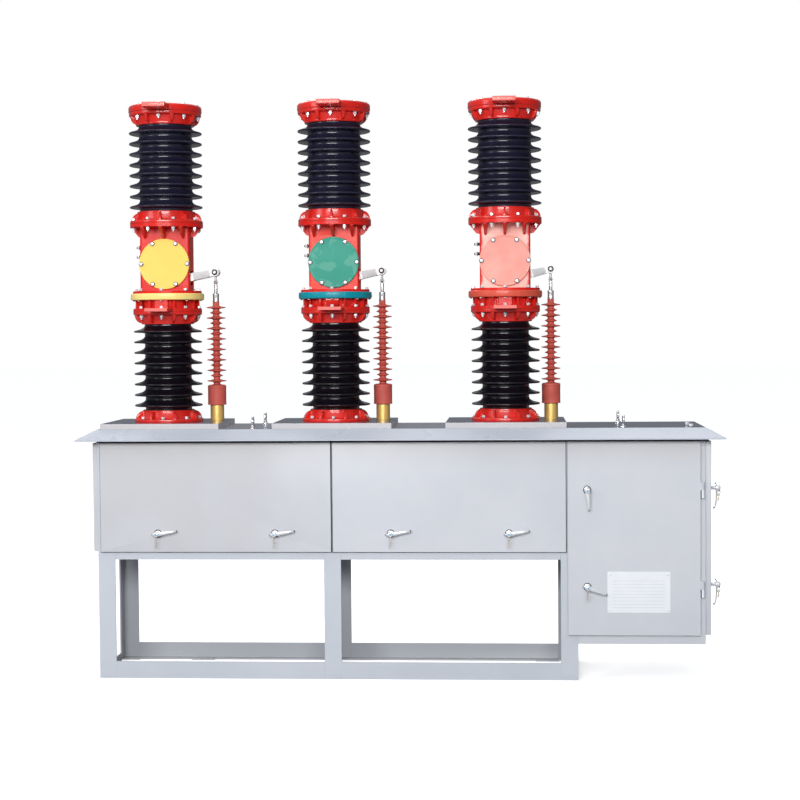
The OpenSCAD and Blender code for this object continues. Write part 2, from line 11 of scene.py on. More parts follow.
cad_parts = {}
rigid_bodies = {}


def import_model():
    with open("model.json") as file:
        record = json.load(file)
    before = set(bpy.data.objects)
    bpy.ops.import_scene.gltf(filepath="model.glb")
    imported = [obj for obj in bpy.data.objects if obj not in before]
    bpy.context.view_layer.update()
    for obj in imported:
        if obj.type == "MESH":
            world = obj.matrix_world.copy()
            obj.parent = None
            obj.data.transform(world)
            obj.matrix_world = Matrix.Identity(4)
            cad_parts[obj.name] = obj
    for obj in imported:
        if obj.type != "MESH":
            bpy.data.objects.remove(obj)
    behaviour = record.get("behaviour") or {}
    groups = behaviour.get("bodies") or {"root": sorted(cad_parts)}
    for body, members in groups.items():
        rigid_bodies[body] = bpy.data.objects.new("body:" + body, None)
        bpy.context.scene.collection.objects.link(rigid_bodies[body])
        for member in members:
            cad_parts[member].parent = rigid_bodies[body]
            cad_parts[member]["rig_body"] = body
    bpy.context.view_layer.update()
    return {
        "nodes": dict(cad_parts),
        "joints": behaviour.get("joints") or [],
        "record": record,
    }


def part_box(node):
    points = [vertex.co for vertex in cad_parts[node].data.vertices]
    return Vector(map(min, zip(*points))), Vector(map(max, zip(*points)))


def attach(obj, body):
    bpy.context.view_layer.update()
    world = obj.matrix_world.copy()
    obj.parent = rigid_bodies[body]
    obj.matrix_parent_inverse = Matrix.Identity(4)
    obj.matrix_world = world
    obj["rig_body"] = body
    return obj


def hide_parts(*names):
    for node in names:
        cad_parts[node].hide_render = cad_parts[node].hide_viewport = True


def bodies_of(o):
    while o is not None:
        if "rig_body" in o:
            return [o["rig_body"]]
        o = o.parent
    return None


bl_info = {
    "name": "Outdoor Vacuum Breaker",
    "version": (1, 0, 0),
    "blender": (4, 5, 0),
    "location": "3D View > Sidebar > Breaker",
    "description": "Dresses the frame of a three-pole outdoor circuit breaker",
    "category": "Add Mesh",
}

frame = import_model()
SIDES = ("left", "middle", "right")

# Where the poles and the cabinet are, read from the frame's own boxes
POLE_X = [sum(v.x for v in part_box(f"phase_ring_{side}")) / 2 for side in SIDES]
ROD_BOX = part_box("operating_rod_left")
ROD_X = (ROD_BOX[0].x + ROD_BOX[1].x) / 2 - POLE_X[0]
ROD_Y = (ROD_BOX[0].y + ROD_BOX[1].y) / 2
LID_TOP, PLINTH_TOP = (v.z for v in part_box("plinths"))
X_LEFT, X_RIGHT = (v.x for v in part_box("upper_rails"))
Y_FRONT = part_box("upper_rails")[0].y
DOOR_LOW, DOOR_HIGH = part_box("mechanism_door")
HINGE_RISE = (DOOR_LOW.z + 0.154, DOOR_HIGH.z - 0.230)
PIN_Z = next(j for j in frame["joints"] if j["name"] == "rod_left_pin")["pos_m"][2]
HOUSING_HALF_WIDTH, HOUSING_HALF_DEPTH = 0.1045, 0.054


def srgb(red, green, blue):
    """A colour as it is seen, 0 to 255, turned into the linear numbers that shaders use."""
    return tuple(((c / 255 + 0.055) / 1.055) ** 2.4 if c > 10.3 else c / 255 / 12.92 for c in (red, green, blue))


def colour(name, description, *seen):
    return bpy.props.FloatVectorProperty(
        name=name, description=description, default=srgb(*seen), min=0, max=1, subtype="COLOR"
    )


def length(name, description, metres):
    return bpy.props.FloatProperty(name=name, description=description, default=metres, min=0, unit="LENGTH")


class BreakerColours(bpy.types.PropertyGroup):
    frame_paint: colour("Frame paint", "Paint on the angle-steel frame", 195, 200, 208)
    cabinet_paint: colour("Cabinet paint", "Paint on the doors and panels", 203, 205, 211)
    lid_paint: colour("Lid paint", "Paint on the sloped lid", 185, 191, 201)
    plinth_paint: colour("Plinth paint", "Paint on the sides of the plinths", 196, 193, 196)
    # Painted reflection: the level faces of the lid and plinths are painted darker, standing in for the dark
    # surroundings they mirror
    level_painted_reflection: colour("Level lid paint", "Smooth paint on the lid's level faces", 98, 104, 118)
    casting: colour("Castings", "Gloss paint on flanges, collars and caps", 220, 38, 30)
    # Painted light: the front ends of the terminal pads are painted paler where they face the front light
    bleached: colour("Terminal faces", "Bleached paint on the ends of the terminal pads", 238, 112, 102)
    housing: colour("Housings", "Gloss paint on the housings", 222, 38, 30)
    # Painted light: the middle housing's front wall is painted paler than its sides
    middle_front_light: colour("Middle housing front", "Front wall of the middle housing", 238, 72, 58)
    # Painted glare: the right housing's front wall is painted pale pink
    right_front_glare: colour("Right housing front", "Front wall of the right housing, paler as painted glare", 254, 200, 187)
    porcelain: colour("Porcelain", "Dark glaze of the lower insulators", 17, 13, 22)
    porcelain_top: colour("Upper porcelain", "Bluer glaze of the upper insulators", 30, 30, 49)
    silicone: colour("Silicone", "Rubber on the operating rods", 205, 94, 83)
    brass: colour("Guide tubes", "Yellow passivated steel of the guide tubes", 248, 206, 120)
    steel: colour("Bolts", "Bright zinc plating on bolts and rod ends", 246, 247, 250)
    # Dark steel also paints shade: the washers round bolt heads, the knuckles above the doors and the ring under each
    # handle rosette
    dark_steel: colour("Dark steel", "Blackened washers, pins and tips", 52, 50, 54)
    # The seal colour also paints shade: the dark strips under the lid and round the hinge knuckles, and the door seals
    # in their gaps
    seal: colour("Seals", "Black rubber round the doors and between the flanges", 34, 32, 35)
    crank: colour("Cranks", "Plating on the crank arms", 251, 251, 252)
    handle: colour("Handles", "Satin chrome of the handles", 246, 248, 251)
    ring_left: colour("Left ring", "Phase ring of the left pole", 252, 226, 138)
    ring_middle: colour("Middle ring", "Phase ring of the middle pole", 0, 142, 158)
    ring_right: colour("Right ring", "Phase ring of the right pole", 214, 86, 66)
    cover_left: colour("Left cover", "Access cover of the left pole", 252, 213, 98)
    cover_middle: colour("Middle cover", "Access cover of the middle pole", 28, 150, 128)
    # Painted glare: the right cover is painted pale pink
    cover_right: colour("Right cover", "Access cover of the right pole", 241, 170, 156)


class BreakerSizes(bpy.types.PropertyGroup):
    bolt_across: length("Bolt width", "Width of a flange bolt across its flats", 0.0124)
    cover_bolt: length("Cover bolt width", "Width of a cover bolt across its flats", 0.0132)
    stud_length: length("Stud length", "How far a flange bolt stands past its nut", 0.008)
    cast_edge: length("Casting edge", "Rounding along the edges of castings", 0.0022)
    sheet_edge: length("Sheet edge", "Rounding along folded sheet and rolled steel", 0.0012)
    door_edge: length("Door edge", "Rounding round the front of a door", 0.0022)
    rib_width: length("Rib width", "Width of a collar's rib at its flange", 0.015)
    rib_tip: length("Rib tip width", "Width of a collar's rib at its far end", 0.0075)
    turning_steps: bpy.props.IntProperty(
        name="Turning steps", description="Steps round each turned piece", default=96, min=24, max=256
    )


def tint_of(name):
    return tuple(getattr(bpy.context.scene.breaker_colours, name))


def sizes():
    return bpy.context.scene.breaker_sizes


# ---------- shaping ----------


def at(*spot):
    return Matrix.Translation(spot)


def about(axis, degrees):
    return Matrix.Rotation(radians(degrees), 4, axis)


HERE = Matrix.Identity(4)
TO_FRONT = about("X", 90)


def mm(text):
    """Points in metres from millimetres: radius, height and perhaps a rounding, with commas between points."""
    return [tuple(float(word) / 1000 for word in point.split()) for point in text.split(",")]


def softened(points, arcs):
    """An outline with its corners rounded. Each point is (radius, height) or (radius, height, rounding)."""
    flat = [Vector(p[:2]) for p in points]
    outline = []
    for i, point in enumerate(points):
        if len(point) < 3 or i in (0, len(points) - 1):
            outline.append(tuple(flat[i]))
            continue
        back, ahead = flat[i - 1] - flat[i], flat[i + 1] - flat[i]
        reach = min(point[2], 0.49 * back.length, 0.49 * ahead.length)
        start, end = flat[i] + back.normalized() * reach, flat[i] + ahead.normalized() * reach
        for t in (k / arcs for k in range(arcs + 1)):
            outline.append(tuple(start * (1 - t) ** 2 + flat[i] * 2 * t * (1 - t) + end * t**2))
    return outline


def turned(bm, outline, centre=(0, 0, 0), steps=None, arcs=3):
    """Spins an outline round a vertical axis, with its corners rounded where they ask for it."""
    x, y, z = centre
    if any(len(point) > 2 for point in outline):
        outline = softened(outline, arcs)
    verts = [bm.verts.new((x + r, y, z + h)) for r, h in outline]
    pairs = list(zip(verts, verts[1:]))
    if max(outline[0][0], outline[-1][0]) > 1e-9:
        pairs.append((verts[-1], verts[0]))
    edges = [bm.edges.new(pair) for pair in pairs]
    bmesh.ops.spin(
        bm, geom=verts + edges, cent=(x, y, 0), axis=(0, 0, 1), angle=2 * pi,
        steps=steps or sizes().turning_steps, use_merge=True,
    )
    on_axis = [v for v in bm.verts if abs(v.co.x - x) < 1e-7 and abs(v.co.y - y) < 1e-7]
    bmesh.ops.remove_doubles(bm, verts=on_axis, dist=1e-6)


def added(bm, part, place=HERE, material=0):
    """Puts a finished shape into a larger one and lets go of it."""
    bmesh.ops.transform(part, matrix=place, verts=part.verts)
    for face in part.faces:
        face.material_index = material
    mesh = meshed(part, "part")
    bm.from_mesh(mesh)
    bpy.data.meshes.remove(mesh)


def turning(bm, outline, place=HERE, material=0, steps=24, arcs=3):
    """A small turned shape put in place."""
    part = bmesh.new()
    turned(part, outline, steps=steps, arcs=arcs)
    added(bm, part, place, material)


def prism(bm, sides, radius, depth, place, material=0, crown=0.0):
    """A straight bar about its middle; a crown raises the inner part of its top."""
    part = bmesh.new()
    bmesh.ops.create_cone(part, cap_ends=True, segments=sides, radius1=radius, radius2=radius, depth=depth)
    if crown:
        top = max(part.faces, key=lambda f: f.calc_center_median().z)
        bmesh.ops.inset_region(part, faces=[top], thickness=radius * 0.2, depth=crown)
    added(bm, part, place, material)


def ball(bm, radius, place, material):
    part = bmesh.new()
    bmesh.ops.create_uvsphere(part, u_segments=12, v_segments=8, radius=radius)
    added(bm, part, place, material)


def rod(bm, start, end, radius, material=0, sides=12):
    """A straight round bar between two points."""
    start, end = Vector(start), Vector(end)
    turn = (end - start).to_track_quat("Z", "Y").to_matrix().to_4x4()
    prism(bm, sides, radius, (end - start).length, at(*(start + end) / 2) @ turn, material)


def eased(bm, edges, width, segments=2):
    bmesh.ops.bevel(
        bm, geom=edges, offset=width, offset_type="OFFSET", segments=segments, profile=0.5, affect="EDGES",
        clamp_overlap=True, material=-1,
    )


def raised(bm, faces, vec):
    """Pushes faces along a vector and gives the points that moved."""
    geometry = bmesh.ops.extrude_face_region(bm, geom=faces)["geom"]
    moved = [g for g in geometry if isinstance(g, bmesh.types.BMVert)]
    bmesh.ops.translate(bm, vec=vec, verts=moved)
    return moved


def pushed(outline, vec, bevel=0.0):
    """A flat outline pushed along a vector, with the rims of both its faces eased."""
    bm = bmesh.new()
    far = set(raised(bm, [bm.faces.new([bm.verts.new(point) for point in outline])], vec))
    if bevel:
        eased(bm, [e for e in bm.edges if (e.verts[0] in far) == (e.verts[1] in far)], bevel, 1)
    return bm


def bar(bm, low, high):
    """A plain strip between two corners."""
    low, high = Vector(low), Vector(high)
    size = high - low
    part = bmesh.new()
    bmesh.ops.create_cube(part, size=1)
    eased(part, part.edges[:], min(size) * 0.2, 1)
    added(bm, part, at(*(low + high) / 2) @ Matrix.Diagonal((*size, 1)))


def merged(node):
    """A copy of a frame part's mesh with its loose triangles joined into whole faces."""
    bm = bmesh.new()
    bm.from_mesh(frame["nodes"][node].data)
    bmesh.ops.remove_doubles(bm, verts=bm.verts, dist=2e-5)
    bmesh.ops.dissolve_limit(bm, angle_limit=radians(0.6), verts=bm.verts, edges=bm.edges, delimit=set())
    return bm


def painted(bm, choose):
    """Gives each face the material that choose picks by the face's middle and normal."""
    for face in bm.faces:
        face.material_index = int(choose(face.calc_center_median(), face.normal))


def outward(bm):
    bmesh.ops.recalc_face_normals(bm, faces=bm.faces)


def meshed(bm, name):
    """Turns a built shape into a mesh and lets go of it."""
    mesh = bpy.data.meshes.new(name)
    bm.to_mesh(mesh)
    bm.free()
    return mesh


def placed(name, data):
    """A new object in the scene."""
    made = bpy.data.objects.new(name, data)
    bpy.context.scene.collection.objects.link(made)
    return made


def body_of(node):
    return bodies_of(frame["nodes"][node])[0]


def finished(bm, name, materials, part=None, body="root", edge=0.0, crease=32, tidy=True):
    """Turns a built shape into a piece that moves with its body and may stand for a frame part."""
    if tidy:
        outward(bm)
    mesh = meshed(bm, name)
    mesh.shade_smooth()
    mesh.set_sharp_from_angle(angle=radians(crease))
    for material in materials:
        mesh.materials.append(material)
    piece = placed(name, mesh)
    if edge:
        bevel = piece.modifiers.new("Eased edges", "BEVEL")
        bevel.width, bevel.segments = edge, 2
        bevel.limit_method, bevel.angle_limit = "ANGLE", radians(crease)
        bevel.harden_normals = True
    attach(piece, body_of(part) if part else body)
    if part:
        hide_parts(part)


def dressed(part, materials, edge=None, choose=None):
    """A frame part with its edges eased."""
    bm = merged(part)
    if choose:
        painted(bm, choose)
    finished(bm, f"{part}_sheet", materials, part, edge=edge or sizes().sheet_edge, tidy=False)


# ---------- shared surface effects ----------


def wired(tree, made, links):
    """A node with its inputs linked or set: links holds (socket, source or value) pairs."""
    for name, source in links:
        socket = made.inputs[name]
        if isinstance(source, bpy.types.NodeSocket):
            tree.links.new(source, socket)
        else:
            socket.default_value = (*source, 1) if socket.type == "RGBA" else source
    return made


def node(tree, kind, links=(), **settings):
    made = tree.nodes.new(kind)
    for key, value in settings.items():
        setattr(made, key, value)
    return wired(tree, made, links)


def calc(tree, operation, *values):
    """The outcome of one sum on numbers or sockets."""
    return node(tree, "ShaderNodeMath", enumerate(values), operation=operation).outputs[0]


def remap(tree, value, start, end, low=0.0, high=1.0):
    """A value carried from one range to another."""
    ends = [("Value", value), ("From Min", start), ("From Max", end), ("To Min", low), ("To Max", high)]
    return node(tree, "ShaderNodeMapRange", ends).outputs["Result"]


def blend(tree, amount, below, above):
    """One colour over another by a mask."""
    factor, first, second = 0, 6, 7
    mix = node(tree, "ShaderNodeMix", [(factor, amount), (first, below), (second, above)], data_type="RGBA")
    return mix.outputs[2]


def noise(tree, place, scale, detail=2.0, roughness=0.5):
    links = [("Vector", place), ("Scale", scale), ("Detail", detail), ("Roughness", roughness)]
    return node(tree, "ShaderNodeTexNoise", links).outputs["Fac"]


def axis_of(tree, vector, axis):
    return node(tree, "ShaderNodeSeparateXYZ", [(0, vector)]).outputs[axis]


def place_of(tree):
    return tree.nodes.new("ShaderNodeTexCoord").outputs["Object"]


def drift_effect(tree, given):
    """Slow colour change over a painted surface."""
    cloud = remap(tree, noise(tree, given["Place"], given["Scale"], 4.0, 0.55), 0.36, 0.66)
    mask = calc(tree, "MULTIPLY", cloud, given["Amount"])
    return {"Colour": blend(tree, mask, given["Colour"], given["Shade"]), "Mask": mask}


def dust_effect(tree, given):
    """Fine dust that settles on faces turned upwards."""
    normal = node(tree, "ShaderNodeNewGeometry").outputs["Normal"]
    upward = remap(tree, axis_of(tree, normal, "Z"), 0.35, 0.95)
    patches = remap(tree, noise(tree, given["Place"], 26.0, 6.0, 0.7), 0.38, 0.72)
    return {"Mask": calc(tree, "MULTIPLY", calc(tree, "MULTIPLY", upward, patches), given["Amount"])}


def relief_effect(tree, given):
    """Height of a sprayed or cast skin: fine grain over broad waves."""
    heights = [
        calc(tree, "MULTIPLY", noise(tree, given["Place"], given[f"{kind} Scale"]), given[kind])
        for kind in ("Fine", "Broad")
    ]
    return {"Height": calc(tree, "ADD", *heights)}


def scuff_effect(tree, given):
    """Small sparse spots where a finish is rubbed or chipped."""
    spots = noise(tree, given["Place"], given["Scale"], 8.0, 0.75)
    return {"Mask": remap(tree, spots, calc(tree, "SUBTRACT", 0.75, given["Cover"]), 0.8)}


GRAIN = ("Fine Scale", "Fine", "Broad Scale", "Broad")
EFFECTS = {
    "Paint Drift": (drift_effect, ("Place", "Scale", "Amount", "Colour", "Shade"), ("Colour", "Mask")),
    "Settled Dust": (dust_effect, ("Place", "Amount"), ("Mask",)),
    "Surface Relief": (relief_effect, ("Place", *GRAIN), ("Height",)),
    "Scuffs": (scuff_effect, ("Place", "Scale", "Cover"), ("Mask",)),
}
SOCKET_KINDS = {"Place": "NodeSocketVector", "Colour": "NodeSocketColor", "Shade": "NodeSocketColor"}


def use(tree, name, **values):
    """Places a shared effect in a material, with its own values."""
    group = bpy.data.node_groups.get(name)
    if not group:
        build, inputs, outputs = EFFECTS[name]
        group = bpy.data.node_groups.new(name, "ShaderNodeTree")
        for labels, side in ((inputs, "INPUT"), (outputs, "OUTPUT")):
            for label in labels:
                kind = SOCKET_KINDS.get(label, "NodeSocketFloat")
                group.interface.new_socket(label, in_out=side, socket_type=kind)
        given = group.nodes.new("NodeGroupInput").outputs
        node(group, "NodeGroupOutput", build(group, given).items())
    return node(tree, "ShaderNodeGroup", values.items(), node_tree=group).outputs


def tinted(base, factor, warm=0.0):
    """A darker or lighter neighbour of a colour."""
    return tuple(min(1, c * factor * share) for c, share in zip(base, (1 + warm, 1, 1 - warm)))


def finish(name, base, shade=0.8, warm=0.0, scale=9.0, mottle=0.5, dust=0.2, dust_tint=srgb(182, 176, 164),
           chips=(60.0, 0.07, 0.4), gloss=(0.24, 0.34), grain=(230.0, 0.22, 22.0, 1.0), bump=(0.5, 0.002),
           stretch=(1, 1, 1), metallic=0.0, coat=0.0, specular=0.5, overlay=None, rim=0.0):
    """A surface with slow drift, dust on its level faces, rubbed spots and a fine relief; rim paints a dark reflection
    on edges that turn away from the view.
    """
    made = bpy.data.materials.get(name)
    if made:
        return made
    made = bpy.data.materials.new(name)
    made.use_nodes = True
    tree = made.node_tree
    place = place_of(tree)
    under = shade if isinstance(shade, tuple) else tinted(base, shade, warm)
    drift = use(tree, "Paint Drift", Place=place, Scale=scale, Amount=mottle, Colour=base, Shade=under)
    skin = overlay(tree, place, drift["Colour"]) if overlay else drift["Colour"]
    settled = use(tree, "Settled Dust", Place=place, Amount=dust)["Mask"]
    skin = blend(tree, settled, skin, dust_tint)
    rubbed = use(tree, "Scuffs", Place=place, Scale=chips[0], Cover=chips[1])["Mask"]
    skin = blend(tree, calc(tree, "MULTIPLY", rubbed, chips[2]), skin, tinted(base, 0.45))
    # Painted reflection: edges turned away from the view are darkened
    if rim:
        painted_rim_facing = tree.nodes.new("ShaderNodeLayerWeight").outputs["Facing"]
        skin = blend(tree, remap(tree, painted_rim_facing, 0.12, 0.42, 0.0, rim), skin, tinted(base, 0.04))
    rough = calc(tree, "ADD", remap(tree, drift["Mask"], 0.0, 1.0, *gloss), settled)
    along = node(tree, "ShaderNodeMapping", [("Vector", place), ("Scale", stretch)]).outputs["Vector"]
    height = use(tree, "Surface Relief", Place=along, **dict(zip(GRAIN, grain)))["Height"]
    relief = node(tree, "ShaderNodeBump", [("Strength", bump[0]), ("Distance", bump[1]), ("Height", height)])
    wired(tree, tree.nodes["Principled BSDF"], [
        ("Base Color", skin), ("Roughness", rough), ("Metallic", metallic), ("Specular IOR Level", specular),
        ("Coat Weight", coat), ("Coat Roughness", 0.07), ("Normal", relief.outputs["Normal"]),
    ])
    return made


def sheet_paint(name, base, dust=0.25, gloss=0.3, warm=-0.015, overlay=None):
    """Gloss paint on folded sheet or rolled steel, with faint waves."""
    return finish(name, base, shade=0.9, warm=warm, scale=2.6, mottle=0.75, dust=dust, chips=(34.0, 0.06, 0.35),
                  gloss=(gloss, gloss + 0.12), grain=(620.0, 0.06, 3.2, 1.0), bump=(0.6, 0.0028), overlay=overlay)


def cast_paint(name, base, gloss=0.22, mottle=0.45, shade=0.74, overlay=None, specular=0.4, coat=0.35):
    """Thick gloss paint over a sand casting."""
    return finish(name, base, shade=shade, mottle=mottle, dust=0.18, dust_tint=srgb(214, 150, 138),
                  chips=(85.0, 0.07, 0.5), gloss=(gloss, gloss + 0.1), coat=coat, specular=specular, overlay=overlay)


def metal(name, base, rough=0.26, shade=0.86, metallic=1.0, stretch=(1, 1, 14), rim=0.0):
    """Plated metal with a brushed grain and dull patches; rim paints a dark reflection along its edges."""
    return finish(name, base, shade=shade, scale=40.0, mottle=0.5, dust=0.0, chips=(150.0, 0.05, 0.5),
                  gloss=(rough, rough + 0.18), grain=(320.0, 0.5, 60.0, 0.5), bump=(0.25, 0.0004), stretch=stretch,
                  metallic=metallic, rim=rim)


def rubber(name, base, rough=0.5, chalk=0.35):
    """Moulded rubber with a chalky bloom."""
    return finish(name, base, shade=0.7, scale=24.0, mottle=0.6, dust=chalk, dust_tint=tinted(base, 1.5, -0.05),
                  gloss=(rough, rough + 0.18), grain=(500.0, 0.4, 40.0, 0.6), bump=(0.4, 0.0008), specular=0.3)


def bolting():
    """The two materials of bolts: plating, and dark steel for pins and for washers, which paint the contact shade round
    the heads.
    """
    return [metal("Zinc plate", tint_of("steel"), metallic=0.35, rough=0.2), black_metal_and_shade()]


def black_metal_and_shade():
    return metal("Blackened steel", tint_of("dark_steel"), rough=0.4, metallic=0.6)


def seal_and_shade_rubber():
    return rubber("Seal rubber", tint_of("seal"), 0.6, 0.05)


def under_lid_painted_light(tree, place, skin):
    """A warm wash painted on sheet close under the lid, standing in for light thrown back under the lid; greyer towards
    the cabinet's left end.
    """
    # Painted light: a warm paler band just under the lid
    high = remap(tree, axis_of(tree, place, "Z"), 0.86, 0.98, 0.0, 0.42)
    cloud = remap(tree, noise(tree, place, 5.0), 0.2, 0.6, 0.5, 1.0)
    skin = blend(tree, calc(tree, "MULTIPLY", high, cloud), skin, srgb(184, 178, 170))
    left = remap(tree, axis_of(tree, place, "X"), -0.25, -0.6, 0.0, 0.4)
    return blend(tree, calc(tree, "MULTIPLY", left, cloud), skin, srgb(182, 180, 180))


def cabinet_paint():
    return sheet_paint("Cabinet paint", tint_of("cabinet_paint"), overlay=under_lid_painted_light)


# ---------- frame and cabinet ----------


class BREAKER_OT_base_frame(bpy.types.Operator):
    """Build the angle-steel frame with its posts, rails and cross ties"""

    bl_idname = "breaker.base_frame"
    bl_label = "Base Frame"

    def execute(self, context):
        base = tint_of("frame_paint")
        shaded = sheet_paint("Frame paint in shade", tinted(base, 0.78, 0.02), dust=0.8)
        paints = [sheet_paint("Frame paint", base, dust=0.5), shaded]
        for part in ("front_posts", "lower_rails", "middle_rails", "upper_rails", "rear_posts", "cross_rails"):
            dressed(part, paints, choose=lambda spot, normal: spot.y > Y_FRONT + 0.03)
        return {"FINISHED"}


class BREAKER_OT_cabinet(bpy.types.Operator):
    """Build the cabinet's fixed sheets, its end cover, its rear panels and the thin dark strips of painted shade under
    the lid
    """

    bl_idname = "breaker.cabinet"
    bl_label = "Cabinet"

    def execute(self, context):
        paint = cabinet_paint()
        inner = sheet_paint("Cabinet paint in shade", tinted(tint_of("cabinet_paint"), 0.78), dust=0.5)
        for part in ("end_cover", "rear_panels", "mechanism_corner_posts", "mechanism_floor"):
            dressed(part, [paint])
        for part in ("cabinet_floor", "mechanism_wall"):
            dressed(part, [inner])
        panel_screws()
        weather_strips()
        return {"FINISHED"}


def screw(bm, spot, facing, size):
    """A round-headed screw with a shallow dimple."""
    turn = Vector(facing).to_track_quat("Z", "Y").to_matrix().to_4x4()
    outline = [(0, 0.36), (0.16, 0.36), (0.3, 0.5), (0.62, 0.42), (0.9, 0.2), (1, 0), (1, -0.1), (0, -0.1)]
    turning(bm, [(r * size, h * size) for r, h in outline], at(*spot) @ turn, steps=14)


def panel_screws():
    """Cap screws on the end cover and round the rear panels."""
    bm = bmesh.new()
    inset, size = 0.02, 0.009
    low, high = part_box("end_cover")
    for z in (low.z + inset, (low.z + high.z) / 2, high.z - inset):
        screw(bm, (low.x, high.y - inset, z), (-1, 0, 0), size)
    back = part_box("rear_panels")[1].y
    for part in ("flap_left", "flap_middle", "mechanism_door"):
        low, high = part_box(part)
        left, right = low.x + inset, (X_RIGHT - 0.022 if part == "mechanism_door" else high.x) - inset
        for x in (left, (left + right) / 2, right):
            for z in (low.z + inset, DOOR_HIGH.z - inset):
                screw(bm, (x, back, z), (0, 1, 0), size)
    finished(bm, "panel_screws", bolting()[:1])


def weather_strips():
    """Thin dark rubber as painted shade: on the upper rails above the doors, under the lid, and behind the fixed hinge
    knuckles.
    """
    bm = bmesh.new()
    thin, hinge_x = 0.0003, X_RIGHT - 0.012
    # Dark strips on the front and rear upper rails paint the shade under the lid
    for y in (Y_FRONT - thin, -Y_FRONT):
        bar(bm, (X_LEFT, y, DOOR_HIGH.z + 0.0015), (X_RIGHT, y + thin, LID_TOP - 0.006))
    # Dark pads paint the shadow round the fixed hinge knuckles
    for z in HINGE_RISE:
        bar(bm, (hinge_x - 0.0085, Y_FRONT - thin, z - 0.003), (hinge_x + 0.0075, Y_FRONT, z + 0.0345))
    finished(bm, "weather_strips", [seal_and_shade_rubber()])


def paler_reflection_leftwards(tree, place, skin):
    """Painted reflection on the level lid paint, paler towards the lid's left end."""
    return blend(tree, remap(tree, axis_of(tree, place, "X"), 0.75, 0.35), skin, srgb(158, 160, 170))


class BREAKER_OT_lid(bpy.types.Operator):
    """Build the sloped lid, the plinths under the poles and the two bolts by the lid's right end"""

    bl_idname = "breaker.lid"
    bl_label = "Lid and Plinths"

    def execute(self, context):
        for part, paint, overlay in (("lid", "lid_paint", paler_reflection_leftwards), ("plinths", "plinth_paint", None)):
            upright = sheet_paint(f"{part} paint", tint_of(paint), dust=0.0, gloss=0.24)
            # The level faces get the darker paint, a painted reflection
            level = finish(
                f"Level {part} paint", tint_of("level_painted_reflection"), shade=0.88, scale=3.0, dust=0.04, chips=(34.0, 0.04, 0.3),
                gloss=(0.1, 0.16), grain=(300.0, 0.03, 2.2, 1.0), bump=(0.5, 0.0012), overlay=overlay,
            )
            dressed(part, [upright, level], choose=lambda spot, normal: normal.z > 0.95)
        bm = bmesh.new()
        for x, y in ((X_RIGHT - 0.056, -0.045), (X_RIGHT - 0.053, -0.165)):
            bolt(bm, at(x, y, LID_TOP), 0.0165, 0.009)
        finished(bm, "lid_bolts", bolting())
        return {"FINISHED"}


class BREAKER_OT_lifting_eyes(bpy.types.Operator):
    """Build the four lifting eyes on the lid"""

    bl_idname = "breaker.lifting_eyes"
    bl_label = "Lifting Eyes"

    def execute(self, context):
        bm = bmesh.new()
        ring_radius, wire = 0.0165, 0.0047
        eyes = [m["pos_m"] for m in frame["record"]["mounts"] if m["name"].startswith("lifting_eye")]
        for x, y, z in eyes:
            rise = z - LID_TOP
            shank = [(0.0065, rise - 0.0145, 0.002), (0, rise - 0.0135)]
            turned(bm, mm("0 0, 12.8 0 1, 12.6 2.8 1, 9 5.5 3") + shank, (x, y, LID_TOP), 32)
            ring = bmesh.new()
            bmesh.ops.create_circle(ring, segments=14, radius=wire, matrix=at(ring_radius, 0, 0) @ TO_FRONT)
            bmesh.ops.spin(
                ring, geom=ring.verts[:] + ring.edges[:], axis=(0, 0, 1), angle=2 * pi, steps=40, use_merge=True
            )
            added(bm, ring, at(x, y, z) @ about("Y", 90))
        steel = metal("Bright forging", tinted(tint_of("steel"), 0.9), rough=0.16, metallic=0.85, stretch=(1, 1, 1))
        finished(bm, "lifting_eyes_forged", [steel], "lifting_eyes")
        return {"FINISHED"}


class BREAKER_OT_doors(bpy.types.Operator):
    """Build the flaps, the side-hung doors, their hinges and seals"""

    bl_idname = "breaker.doors"
    bl_label = "Doors"

    def execute(self, context):
        materials = [cabinet_paint(), sheet_paint("Hinge shade", srgb(196, 201, 209)), black_metal_and_shade()]
        for part in ("flap_left", "flap_middle", "mechanism_door", "end_door"):
            door(part, 0 if part == "end_door" else 1, materials)
        hinge = [sheet_paint("Hinge paint", srgb(228, 232, 240), gloss=0.2), black_metal_and_shade()]
        above = DOOR_HIGH.z - 0.0005
        # Bracket faces above the doors' top, in the gap under the lid, get dark steel as painted shade
        dressed("hinge_brackets", hinge, 0.0006, lambda spot, normal: spot.z > above)
        return {"FINISHED"}


